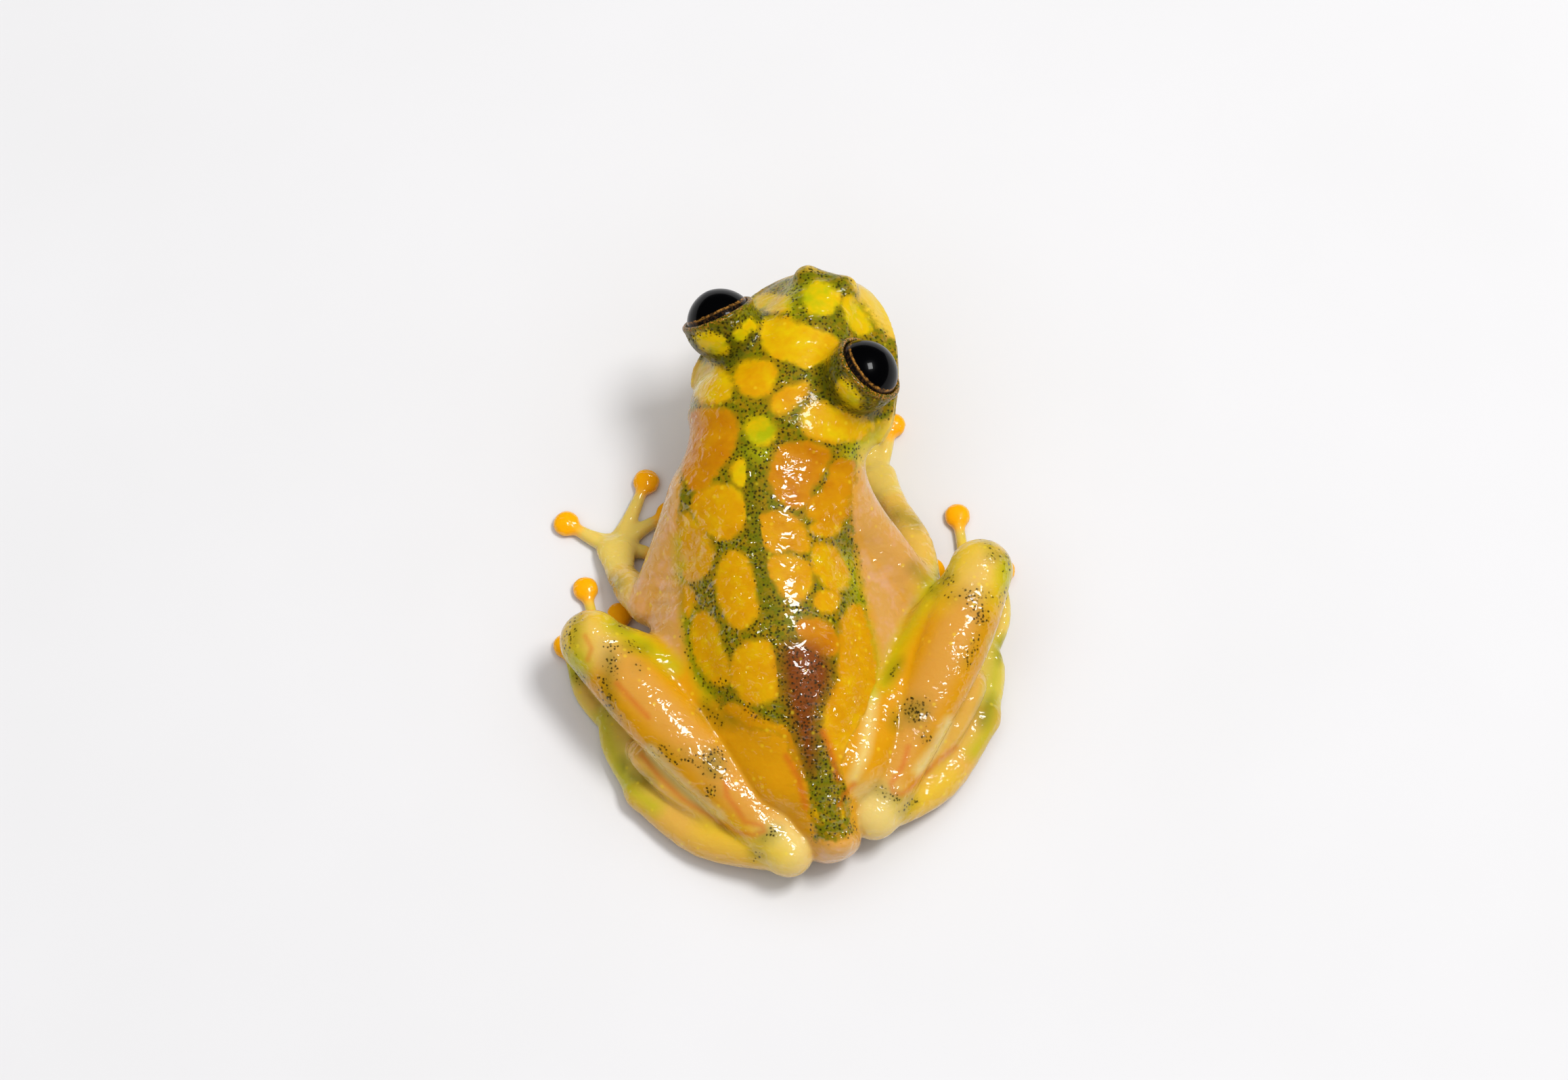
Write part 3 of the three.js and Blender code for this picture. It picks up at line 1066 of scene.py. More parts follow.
@dataclass
class Paw:
    """The digits of a hand or foot and the webs between them."""

    centre: tuple[float, float, float]
    tips: tuple
    half: float
    pad: float
    bows: tuple
    webs: tuple
    zone: Zone
    web_sag: float = 0.3
    web_height: float = 0.15
    web_half: float = 0.1

    def __post_init__(self) -> None:
        """Line up the digits."""
        self.digits = [
            Digit(self.centre[:2], tip, self.half, self.pad, bow)
            for tip, bow in zip(self.tips, self.bows)
        ]

    def build(self, clay: Clay) -> None:
        """Lay the digits and their webs into the clay.

        Args:
            clay: the clay of the limb.
        """
        for digit in self.digits:
            digit.build(clay, self.zone)
        for first, second, share in zip(self.digits, self.digits[1:], self.webs):
            self.build_web(clay, first, second, share)

    def build_web(self, clay: Clay, first: Digit, second: Digit, share: float) -> None:
        """Stretch a web between two digits.

        Args:
            clay: the clay of the limb.
            first: the digit on one side.
            second: the digit on the other.
            share: how far along the digits the web ends.
        """
        ends = []
        for digit in (first, second):
            late = max(share - 0.5, 0) * 2
            spot = between(digit.start, digit.knuckle, min(share, 0.5) * 2)
            ends.append(between(spot, digit.end, late)[:2])
        palm = np.array(self.centre[:2])
        sag = between(between(ends[0], ends[1]), palm, self.web_sag)
        curve = [between(ends[0], sag, 0.5), sag, between(sag, ends[1], 0.5)]
        rim = Outline(tuple(tuple(p) for p in (palm, ends[0], *curve, ends[1])))
        corners = np.array(rim.points)
        low = np.array([*(corners.min(axis=0) - 0.6), -0.3])
        high = np.array([*(corners.max(axis=0) + 0.6), 1.0])
        picks, (x, y, z) = clay.window(low, high)
        flat = -rim.reach(*np.broadcast_arrays(x[:, :, 0], y[:, :, 0]))
        sheet = np.abs(z - self.web_height) - self.web_half
        distance = np.maximum(flat[:, :, None], sheet).astype(np.float32)
        clay.join(picks, distance, 0.25, self.zone)


@dataclass
class Arm:
    """A fore limb from the shoulder to the fingers."""

    side: Side
    shoulder: tuple
    elbow: tuple
    forearm: tuple
    wrist: tuple
    palm: tuple
    fingers: tuple
    upper_girths: tuple = ((0.85, 0.9), (0.78, 0.76), (0.66, 0.64))
    lower_girths: tuple = ((0.6, 0.6), (0.66, 0.6), (0.44, 0.4))
    palm_girths: tuple = ((0.46, 0.4), (0.7, 0.36))
    finger_half: float = 0.25
    disc: float = 0.47
    bows: tuple = (0.1, 0.05, 0, 0)
    webs: tuple = (0.2, 0.36, 0.55)

    def __post_init__(self) -> None:
        """Set up the segments."""
        middle = between(self.shoulder, self.elbow)
        self.upper = limb([self.shoulder, middle, self.elbow], self.upper_girths)
        self.lower = limb([self.elbow, self.forearm, self.wrist], self.lower_girths)
        self.plate = limb([self.wrist, self.palm], self.palm_girths)
        bows = tuple(bow * self.side.value for bow in self.bows)
        self.paw = Paw(
            self.palm, self.fingers, self.finger_half, self.disc, bows, self.webs, Zone.HAND
        )

    def build(self, clay: Clay) -> None:
        """Lay the arm into the clay.

        Args:
            clay: the clay of the body.
        """
        clay.add(self.upper, 1.15, Zone.UPPER_ARM)
        clay.add(self.lower, 0.25, Zone.FOREARM)
        clay.add(self.plate, 0.25, Zone.HAND)
        self.paw.build(clay)


@dataclass
class Leg:
    """A folded hind limb from the hip to the toes."""

    side: Side
    hip: tuple
    thigh: tuple
    knee: tuple
    calf: tuple
    heel: tuple
    sole: tuple
    ankle: tuple
    instep: tuple
    toes: tuple
    thigh_girths: tuple = ((1.45, 1.35), (1.35, 1.25), (0.95, 0.9))
    shank_girths: tuple = ((1.14, 1.02), (1.24, 1.02), (1.04, 0.9), (0.9, 0.84))
    tarsus_girths: tuple = ((0.74, 0.66), (0.78, 0.64), (0.68, 0.5))
    fold_girths: tuple = ((0.5, 0.42), (0.72, 0.5), (0.66, 0.5), (0.2, 0.16))
    foot_girths: tuple = ((0.6, 0.46), (0.84, 0.4), (0.74, 0.3))
    toe_half: float = 0.24
    disc: float = 0.45
    bows: tuple = (-0.06, 0, 0, 0, 0.1)
    webs: tuple = (0.3, 0.5, 0.6, 0.62)

    def __post_init__(self) -> None:
        """Set up the segments."""
        self.upper = limb([self.hip, self.thigh, self.knee], self.thigh_girths)
        low = between(self.calf, self.heel, 0.55)
        self.shank = limb([self.knee, self.calf, low, self.heel], self.shank_girths)
        self.tarsus = limb([self.heel, self.sole, self.ankle], self.tarsus_girths)
        rear = between(low, self.sole, 0.55)
        front = between(self.calf, self.ankle, 0.55)
        line = [rear, between(rear, front), front, between(front, self.instep, 0.6)]
        self.fold = limb(line, self.fold_girths)
        tread = between(self.instep, [*self.toes[2], self.instep[2]], 0.3)
        self.plate = limb([self.ankle, self.instep, tread], self.foot_girths)
        bows = tuple(bow * self.side.value for bow in self.bows)
        self.paw = Paw(
            self.instep, self.toes, self.toe_half, self.disc, bows, self.webs, Zone.FOOT
        )

    def build_upper(self, clay: Clay) -> None:
        """Lay the thigh into the clay of the body."""
        clay.add(self.upper, 0.35, Zone.THIGH)

    def build_lower(self, clay: Clay) -> None:
        """Lay the shank, the tarsus and the foot into a clay of their own.

        Args:
            clay: the clay of the folded legs.
        """
        clay.add(self.plate, 0.2, Zone.FOOT)
        clay.add(self.fold, 0.35, Zone.TARSUS)
        clay.add(self.tarsus, 0.3, Zone.TARSUS)
        self.paw.build(clay)
        clay.add(self.shank, 0.16, Zone.SHANK)


ARMS = (
    Arm(
        Side.LEFT,
        shoulder=(-3.1, -0.2, 4.1),
        elbow=(-4.85, -3.25, 1.75),
        forearm=(-5.35, -2.5, 1.3),
        wrist=(-5.8, -1.7, 0.75),
        palm=(-6.0, -0.6, 0.42),
        fingers=((-4.3, -0.9), (-4.1, 0.9), (-4.94, 2.14), (-7.79, 0.51)),
    ),
    Arm(
        Side.RIGHT,
        shoulder=(2.1, -0.2, 4.2),
        elbow=(5.0, -2.9, 1.75),
        forearm=(4.65, -0.9, 1.45),
        wrist=(3.85, 1.1, 0.8),
        palm=(3.35, 2.2, 0.42),
        fingers=((1.7, 2.5), (1.6, 4.3), (2.6, 5.6), (3.9, 4.35)),
    ),
)
LEGS = (
    Leg(
        Side.LEFT,
        hip=(0.0, -9.8, 2.1),
        thigh=(-3.0, -6.8, 1.9),
        knee=(-6.75, -5.05, 2.75),
        calf=(-4.6, -7.6, 2.75),
        heel=(0.16, -12.4, 1.35),
        sole=(-2.75, -11.6, 0.72),
        ankle=(-4.9, -9.9, 0.6),
        instep=(-5.65, -7.9, 0.45),
        toes=((-4.1, -6.5), (-4.85, -4.6), (-5.85, -3.0), (-7.08, -2.02), (-7.75, -4.2)),
    ),
    Leg(
        Side.RIGHT,
        hip=(2.25, -9.4, 2.1),
        thigh=(4.3, -6.1, 1.8),
        knee=(6.95, -2.35, 2.75),
        calf=(5.95, -5.2, 2.75),
        heel=(3.16, -11.05, 1.45),
        sole=(5.4, -9.5, 0.72),
        ankle=(6.95, -7.1, 0.6),
        instep=(7.0, -5.2, 0.45),
        toes=((4.85, -4.9), (4.95, -3.1), (5.3, -1.3), (6.21, 0.81), (7.8, -1.3)),
    ),
)

# Where the marks of the skin lie, in the picture's pixels

DORSUM = Outline(
    "1008,560 1004,500 1012,465 1060,415 1110,425 1140,412 1165,404 1187,396 1252,408 1268,440 "
    "1290,470 1312,495 1350,520 1345,580 1318,616 1285,640 1270,660 1266,691 1260,720 1256,750 "
    "1262,800 1275,880 1290,945 1300,1010 1288,1090 1258,1150 1254,1200 1262,1231 1234,1242 "
    "1203,1240 1194,1180 1162,1090 1104,1076 1068,1050 1030,1010 1012,950 1006,850 1003,750 "
    "1003,691 1006,640 1014,600"
)
FLANKS = (
    Outline("1012,610 1004,760 1008,860 1014,950 1000,985 900,960 850,760 940,600"),
    Outline("1256,690 1254,750 1262,800 1276,880 1292,945 1296,1000 1400,960 1400,700 1300,660"),
    Outline("1194,1244 1264,1236 1290,1290 1180,1290"),
    Stroke("1290,1030 1278,1110 1262,1150", 9),
)
SPOTS = (
    Spot(
        "1134,470 1165,475 1199,485 1232,499 1238,508 1218,532 1190,543 1172,534 1142,525 "
        "1128,510 1126,484",
        0.3,
    ),
    Spot("1010,533 1051,539 1076,555 1080,575 1072,593 1044,596 1022,578 1004,555", 0.27),
    Spot("1105,532 1140,536 1147,555 1138,580 1112,586 1089,570 1090,546", 0.4),
    Spot("1138,601 1147,584 1180,565 1197,568 1167,605 1148,612", 0.44),
    Spot("1236,572 1246,560 1260,572 1274,595 1264,604 1248,592", 0.24),
    Spot("1026,505 1032,492 1052,494 1074,505 1074,519 1056,525", 0.2),
    Spot(
        "1182,620 1192,601 1214,596 1246,609 1282,627 1312,624 1290,640 1260,650 1225,653 "
        "1194,643",
        0.33,
    ),
    Patch((1124, 637), (19, 17), 0, 0.02),
    Patch((1094, 700), (10, 18), 0, 0.14),
    Patch((1094, 495), (8, 8), 0, 0.12),
    Patch((1108, 481), (9, 7), 0, 0.12),
    Spot("1186,430 1210,416 1231,428 1239,440 1232,457 1212,466 1194,457", 0.1),
    Spot("1116,440 1140,438 1166,440 1167,456 1140,457 1122,453", 0.2),
    Spot("1250,436 1264,446 1290,484 1275,494 1256,482 1248,460", 0.2),
    Spot(
        "1026,607 1071,604 1087,620 1089,643 1081,664 1060,691 1042,722 1022,724 1006,690 "
        "1006,640",
        0.78,
    ),
    Spot(
        "1145,672 1160,656 1221,658 1226,680 1212,704 1196,722 1196,748 1168,748 1140,724 "
        "1137,700",
        0.8,
    ),
    Spot(
        "1228,688 1250,680 1264,690 1260,730 1248,770 1215,770 1190,762 1196,738 1218,728 "
        "1226,712",
        0.68,
    ),
    Spot("1193,780 1212,771 1236,770 1246,779 1236,790 1212,790", 0.42),
    Spot(
        "1034,722 1058,715 1083,719 1098,734 1104,757 1095,779 1078,794 1056,793 1034,780 "
        "1022,750",
        0.46,
    ),
    Spot("1006,760 1022,762 1042,788 1054,815 1047,843 1028,858 1010,852 1002,810", 0.46),
    Spot(
        "1084,814 1100,823 1109,843 1111,862 1119,893 1115,912 1098,928 1081,923 1065,893 "
        "1059,860 1063,834",
        0.42,
    ),
    Spot("1002,866 1018,866 1025,890 1019,911 1004,900", 0.48),
    Spot(
        "1027,912 1042,906 1057,922 1065,950 1073,980 1079,1006 1066,1013 1046,1002 1031,975 "
        "1023,942",
        0.4,
    ),
    Spot(
        "1090,962 1104,950 1127,946 1140,958 1149,985 1152,1005 1145,1034 1122,1041 1098,1033 "
        "1084,1012 1081,982",
        0.46,
    ),
    Spot(
        "1078,1034 1102,1050 1130,1068 1158,1072 1168,1090 1182,1125 1190,1165 1194,1210 "
        "1160,1190 1100,1120 1060,1070",
        0.6,
    ),
    Spot(
        "1122,769 1138,759 1160,760 1184,772 1194,795 1197,816 1180,816 1166,805 1156,815 "
        "1139,815 1125,798",
        0.55,
    ),
    Spot("1132,832 1146,820 1176,822 1195,836 1201,860 1191,882 1172,888 1151,871", 0.5),
    Spot("1199,812 1216,803 1234,811 1251,843 1254,863 1240,875 1221,866 1203,844", 0.4),
    Spot("1205,889 1211,876 1228,873 1242,882 1233,901 1214,907", 0.4),
    Spot(
        "1254,897 1268,896 1282,925 1292,960 1296,1010 1292,1060 1280,1110 1256,1160 1244,1140 "
        "1226,1100 1214,1064 1228,1034 1242,1008 1241,970 1243,932",
        0.48,
    ),
    Spot("1174,925 1192,915 1212,917 1229,929 1240,950 1238,968 1216,968 1194,956", 0.82),
    Spot("1205,1192 1240,1190 1246,1208 1222,1213 1204,1210", 0.42),
)
STRIPE = (
    Stroke("1114,668 1109,735 1120,816 1134,891 1152,950", 9),
    Stroke("1152,950 1158,1000 1165,1040 1180,1090", 9),
    Stroke("1186,1060 1200,1110 1212,1166 1228,1208", 16),
    Stroke("1212,1226 1252,1224", 13),
)
PURPLE = (
    Spot(
        "1150,955 1180,944 1216,956 1232,985 1226,1020 1212,1042 1206,1064 1208,1110 1202,1150 "
        "1188,1136 1174,1082 1158,1030"
    ),
)
GREEN = (
    Stroke("1236,512 1226,560 1244,606 1290,626", 16),
    Stroke("1240,540 1262,548", 8),
    Stroke("1012,500 1016,530 1078,530 1102,490 1125,470", 12),
    Stroke("1185,420 1180,455 1215,474 1250,462 1246,420", 10),
    Stroke("1190,410 1200,402 1222,404 1246,414 1252,432", 9),
    Stroke("1160,530 1185,552 1206,560", 7),
    Patch((1222, 442), (12, 18)),
    Stroke("1098,650 1106,690 1110,735 1118,800 1130,860", 11),
    Stroke("1126,868 1140,905", 9),
    Patch((1019, 732), (12, 20)),
    Stroke("1014,870 1022,930 1032,985 1050,1010", 8),
    Stroke("1246,790 1256,812", 7),
    Stroke("1246,872 1262,884", 8),
    Stroke("1204,1106 1212,1140 1220,1172", 13),
    Stroke("1044,1046 1066,1066", 11),
    Patch((1076, 1062), (16, 12), 30),
    Patch((944, 1152), (24, 14), 10),
    Patch((921, 1134), (8, 14), 0),
    Patch((1458, 1052), (12, 26), 20),
    Patch((1480, 960), (6, 20), 10),
    Stroke("914,925 926,930", 7),
    Stroke("926,955 952,958", 8),
    Stroke("852,904 850,946", 9),
    Patch((856, 1000), (13, 7), 15),
    Patch((1398, 856), (15, 11), -20),
    Patch((1380, 872), (8, 8)),
    Stroke("1434,784 1452,790 1464,806", 7),
    Stroke("1466,820 1492,824", 8),
    Patch((1322, 990), (8, 20), 35),
    Patch((1136, 1234), (20, 11), -30),
    Patch((1118, 1264), (11, 7), 20),
    Stroke("1300,1167 1328,1182", 8),
    Stroke("1346,1184 1336,1199", 8),
    Patch((903, 866), (22, 14), -20),
    Stroke("1326,760 1356,772", 9),
    Stroke("1350,838 1366,856", 8),
    Patch((1352, 1052), (22, 20), -10),
    Patch((1324, 1066), (10, 12)),
    Patch((1054, 1128), (18, 22)),
    Stroke("902,970 898,1010 900,1046", 10),
)
LIME = (
    Stroke("1250,826 1260,860 1270,898", 8),
    Stroke("1276,930 1286,970 1288,1020", 10),
    Patch((1120, 634), (22, 16)),
    Patch((1116, 670), (18, 10)),
    Stroke("1006,800 1007,850", 6),
    Stroke("1017,905 1024,960 1034,1000 1046,1030", 7),
    Patch((1205, 440), (24, 22)),
    Stroke("1112,470 1120,452 1100,462", 7),
    Stroke("1290,645 1262,662 1250,690", 8),
    Stroke("1168,460 1172,430", 8),
    Stroke("890,1062 905,1110 925,1160 966,1192", 11),
    Stroke("1476,950 1466,1030 1460,1080 1440,1110", 10),
    Stroke("906,922 950,950 996,985", 11),
    Stroke("1402,826 1376,870 1330,950 1306,1010", 9),
    Patch((850, 985), (20, 24)),
    Patch((1488, 850), (12, 26)),
)
BRIGHT = (
    Patch((900, 912), (46, 20), 30),
    Patch((846, 950), (24, 40), 10),
    Patch((930, 938), (26, 12), 32),
    Stroke("1440,792 1404,832 1378,876", 24),
    Patch((1478, 860), (18, 44), 12),
    Patch((1455, 800), (30, 18), 15),
    Patch((1266, 1000), (20, 44), 8),
    Patch((1282, 470), (22, 40), -35),
    Stroke("1046,1222 1150,1262", 14),
    Stroke("1344,1196 1400,1150", 12),
)
SNOUT_EDGE = (
    Stroke("1189,414 1199,400 1222,402 1247,413 1254,430", 7),
)
LEG_DOTS = (
    Patch((902, 956), (8, 8)),
    Stroke("897,976 911,976", 5),
    Stroke("903,985 894,1012", 10),
    Stroke("898,1028 902,1048", 8),
    Stroke("908,1056 918,1062", 5),
    Patch((943, 984), (5, 4)),
    Stroke("852,904 848,928 840,946", 6),
    Stroke("836,958 848,966", 5),
    Stroke("850,996 862,1003", 5),
    Patch((918, 927), (9, 5), 20),
    Stroke("922,954 948,959", 6),
    Patch((962, 1104), (5, 4)),
    Stroke("977,1110 997,1122", 8),
    Stroke("1011,1118 1031,1126", 8),
    Patch((1054, 1128), (20, 24)),
    Patch((1049, 1168), (8, 10)),
    Stroke("1040,1048 1062,1070", 5),
    Patch((1066, 1020), (15, 18)),
    Stroke("1102,1046 1128,1060", 8),
    Stroke("1130,1052 1152,1064", 8),
    Patch((1139, 1233), (13, 8), -30),
    Patch((1118, 1264), (9, 5), 20),
    Stroke("1436,785 1450,790 1462,804", 5),
    Stroke("1466,819 1494,823", 6),
    Patch((1486, 836), (7, 7)),
    Patch((1398, 855), (10, 9)),
    Patch((1378, 871), (5, 6)),
    Stroke("1404,880 1440,878 1464,884", 7),
    Stroke("1436,886 1448,904 1454,920", 10),
    Stroke("1446,940 1438,962 1431,978", 6),
    Stroke("1476,888 1484,876", 5),
    Patch((1322, 990), (6, 16), 35),
    Patch((1352, 1050), (22, 20), -10),
    Patch((1323, 1063), (9, 9)),
    Patch((1368, 1087), (6, 9)),
    Patch((1300, 1167), (6, 4), 20),
    Stroke("1306,1172 1326,1180", 5),
    Stroke("1348,1184 1338,1197", 5),
)
VEINS = (
    Stroke("865,940 874,958 868,975", 2.6),
    Stroke("1072,1156 1074,1176 1088,1194 1100,1214 1126,1220", 3.0),
    Stroke("1126,1220 1129,1228 1114,1234 1088,1230 1052,1208", 3.0),
    Stroke("1052,1208 1008,1180 976,1150 948,1116", 3.0),
    Stroke("912,1010 930,1030 958,1060", 3.0),
    Stroke("1342,1104 1334,1132 1317,1158 1320,1170 1332,1174", 3.0),
    Stroke("1332,1174 1346,1164 1364,1146 1384,1126 1412,1104", 3.0),
    Stroke("1216,1082 1226,1106 1239,1152", 4.5),
    Stroke("1162,1118 1180,1150 1190,1192", 4.5),
    Stroke("1262,1158 1246,1176 1240,1190", 3.0),
)
CREAM = (
    Stroke("960,1112 985,1142 1020,1176 1060,1208", 9),
    Stroke("1402,1068 1384,1106 1358,1138", 8),
    Stroke("1290,1030 1278,1110 1262,1150", 7),
)
# Knees and heels: place, radius and how pale they are
JOINTS = (
    ((868, 945), 40, 0.5),
    ((1447, 834), 42, 0.5),
    ((1163, 1256), 46, 0.9),
    ((1294, 1206), 46, 0.9),
)
# The drawn marks, each with the pixels from the rim at which it is full
DRAWN = {
    "dorsum": ((DORSUM,), 16),
    "stripe": (STRIPE, 9),
    "purple": (PURPLE, 14),
    "green": (GREEN, 11),
    "haze": (LEG_DOTS, 16),
    "dots": (LEG_DOTS, 9),
    "lime": (LIME, 13),
    "bright": (BRIGHT, 22),
    "snout": (SNOUT_EDGE, 8),
    "cream": (CREAM, 8),
    "flanks": (FLANKS, 14),
    "veins": (VEINS, 4),
}
# How much of a mark is laid on, where it isn't all of it
STRENGTH = {
    Mask.GREEN: 0.5,
    Mask.LIME: 0.75,
    Mask.BRIGHT: 0.8,
    Mask.PURPLE: 0.85,
    Mask.VEIN: 0.55,
    Mask.LID: 0.8,
    Mask.DUSK: 0.5,
}


@dataclass(frozen=True)
class WetSkin:
    """Moist glass-frog skin: see-through flesh with pigment spots lying in it.

    The light goes a little way in and comes out warm, and the film of water
    on top gives small hard highlights that break on the grain.
    """

    flesh: str = "#d39406"
    muscle: str = "#d0963a"
    flush: str = "#cf9c50"
    rose: str = "#d8a47c"
    pale: str = "#dec676"
    bright: str = "#dcba18"
    net: str = "#987804"
    moss: str = "#767204"
    green: str = "#5c6404"
    # Painted shade laid over the eye hoods, and the dark colour of the lid margins
    dusk: str = "#363a04"
    lime: str = "#b0b004"
    purple: str = "#7a2c06"
    lemon: str = "#d8b400"
    amber: str = "#d29800"
    ember: str = "#b86a00"
    pad: str = "#fbac00"
    vein: str = "#c85418"
    star: str = "#221e04"
    gold: str = "#c8802c"
    granule: str = "#ecd428"
    # The shine of the skin and of the film, and the light's way through the flesh
    roughness: float = 0.45
    specular: float = 0.1
    coat_roughness: float = 0.045
    coat_ior: float = 1.46
    clearness: float = 0.5
    depth_mm: tuple[float, float, float] = (1.0, 0.6, 0.2)
    depth_share: float = 0.35
    # Sizes of the uneven colour, from quick changes to slow ones
    wobble_mm: float = 1 / 4.2
    drift_mm: float = 1 / 1.5
    blot_mm: float = 1 / 0.62
    granule_mm: float = 0.5
    # Spacing of the black cells, and the frills that make stars of them
    star_spacing_mm: float = 0.13
    frill_mm: float = 1 / 26
    frill_reach_mm: float = 0.07
    speck_mm: float = 1 / 14
    # Net of raised lines in the film, drawn as coarse as it needs to show, and its folds
    bend_mm: float = 1 / 2.2
    bend_reach_mm: float = 0.5
    lean: float = math.radians(24)
    stretch: tuple[float, float, float] = (0.55, 1.0, 0.8)
    grain_mm: float = 0.42
    grain_depth_mm: float = 0.17
    ridge: float = 0.115
    fold_mm: float = 0.42
    fold_depth_mm: float = 0.25
    skin_depth_mm: float = 0.08

    def build(self) -> bpy.types.Material:
        """Make the skin's material.

        Returns:
            The node material.
        """
        material, add = start_material("wet_glass_frog_skin")
        mask = {one: add("Attribute", {"attribute_name": one.value}, (), "Fac") for one in Mask}
        mm = in_millimetres(add)
        colour = self.build_pigment(add, mask, mm)
        colour = self.build_stars(add, mask, mm, colour)
        skin, film = self.build_relief(add, mask, mm)
        values = {
            "Base Color": colour,
            "Roughness": self.roughness,
            "Specular IOR Level": self.specular,
            "Subsurface Weight": self.clearness,
            "Subsurface Radius": self.depth_mm,
            "Subsurface Scale": self.depth_share * MM,
            "Coat Weight": mask[Mask.GLOSS],
            "Coat Roughness": self.coat_roughness,
            "Coat IOR": self.coat_ior,
            "Normal": skin,
            "Coat Normal": film,
        }
        flesh = add("BsdfPrincipled", {"subsurface_method": "RANDOM_WALK"}, values)
        add("OutputMaterial", None, {"Surface": flesh})
        return material

    def build_pigment(self, add: Callable, mask: dict, mm: Socket) -> Socket:
        """Lay the colours of the skin over each other.

        Args:
            add: add_node for the material.
            mask: sockets of the skin's marks.
            mm: socket with the place in millimetres.

        Returns:
            The socket with the colour.
        """
        quick = {"Vector": mm, "Scale": 1 / self.wobble_mm, "Detail": 3.0, "Roughness": 0.6}
        wobble = add("TexNoise", None, quick)
        calm = {"Vector": mm, "Scale": 1 / self.drift_mm, "Detail": 2.0, "Roughness": 0.6}
        slow = add("TexNoise", None, calm)
        blots = {"Vector": mm, "Scale": 1 / self.blot_mm, "Smoothness": 0.25, "Randomness": 0.8}
        cells = add("TexVoronoi", {"feature": "SMOOTH_F1"}, blots)
        blind = add("MapRange", None, (cells, 0.30, 0.62, 0.85, 0.15))
        spot = add("Mix", None, {0: mask[Mask.UNSEEN], 2: mask[Mask.SPOT], 3: blind})
        shaken = add("Math", TIMES_ADD, (wobble, 0.6, -0.3))
        shaken = add("Math", TIMES_ADD, (slow, 0.6, shaken))
        shaken = add("Math", MINUS, (shaken, 0.3))
        moved = add("Math", ADD, (spot, shaken))
        spot = add("MapRange", EASE, (moved, 0.16, 0.6, 0.0, 1.0))
        edge = add("Math", ADD, (mask[Mask.DORSUM], shaken))
        dorsum = add("MapRange", EASE, (edge, 0.3, 0.75, 0.0, 1.0))
        spotted = add("Math", TIMES, (spot, dorsum))
        drift = add("Math", TIMES_ADD, (slow, 0.64, -0.32))
        warmth = add("Math", ADD, (mask[Mask.WARM], drift))
        rosy = add("MapRange", EASE, (slow, 0.46, 0.7, 0.0, 0.7))
        rosy = add("Math", TIMES, (rosy, mask[Mask.FLUSH]))
        mottle = add("MapRange", EASE, (wobble, 0.38, 0.6, 0.0, 1.0))
        warm = add("ValToRGB", None, (warmth,))
        ramp = warm.node.color_ramp
        ramp.elements[0].color = linear(self.lime)
        ramp.elements[1].color = linear(self.ember)
        ramp.elements.new(0.2).color = linear(self.lemon)
        ramp.elements.new(0.46).color = linear(self.amber)
        grains = add("TexVoronoi", None, {"Vector": mm, "Scale": 1 / self.granule_mm})
        return lay_colours(
            add,
            self.flesh,
            (mask[Mask.MUSCLE], self.muscle),
            (mask[Mask.FLUSH], self.flush),
            (rosy, self.rose),
            (mask[Mask.PALE], self.pale),
            (mask[Mask.BRIGHT], self.bright),
            (dorsum, lay_colours(add, self.net, (mottle, self.moss))),
            (mask[Mask.LIME], self.lime),
            (mask[Mask.GREEN], self.green),
            # painted shade on the eye hoods, and the dark lid margins
            (mask[Mask.DUSK], self.dusk),
            (spotted, warm),
            (mask[Mask.PURPLE], self.purple),
            (mask[Mask.PAD], self.pad),
            (mask[Mask.VEIN], self.vein),
            (add("MapRange", EASE, (grains, 0.06, 0.2, 0.35, 0.0)), self.granule),
        )

    def build_stars(self, add: Callable, mask: dict, mm: Socket, colour: Socket) -> Socket:
        """Scatter the black star-shaped pigment cells, and gold flecks on the lids.

        Args:
            add: add_node for the material.
            mask: sockets of the skin's marks.
            mm: socket with the place in millimetres.
            colour: socket with the colour below.

        Returns:
            The socket with the colour.
        """
        fine = {"Vector": mm, "Scale": 1 / self.frill_mm, "Detail": 1.0}
        frill = add("TexNoise", None, fine, "Color")
        moved = add("VectorMath", TIMES_ADD, (frill, (self.frill_reach_mm,) * 3, mm))
        for k, times in enumerate((1.0, 1.25, 1.5)):
            spacing = self.star_spacing_mm * times
            shifted = add("VectorMath", ADD, (moved, (3.7 * k, 1.9 * k, 5.3 * k)))
            lot = {"Vector": shifted, "Scale": 1 / spacing, "Randomness": 0.85}
            away = add("TexVoronoi", None, lot)
            chance = add("SeparateColor", None, (away.node.outputs["Color"],))
            crowd = add("Math", MINUS, (mask[Mask.STAR], chance))
            size = add("MapRange", None, (crowd, -0.02, 0.3, 0.0, 0.38 - 0.05 * k))
            inside = add("Math", MINUS, (size, away))
            dot = add("MapRange", EASE, (inside, -0.09, 0.2, 0.0, 0.88))
            colour = lay_colours(add, colour, (dot, self.star))
        fine = {"Vector": mm, "Scale": 1 / self.speck_mm, "Detail": 2.0}
        speck = add("TexNoise", None, fine)
        speckled = add("MapRange", EASE, (speck, 0.5, 0.6, 0.0, 0.9))
        share = add("Math", TIMES, (speckled, mask[Mask.LID]))
        return lay_colours(add, colour, (share, self.gold))

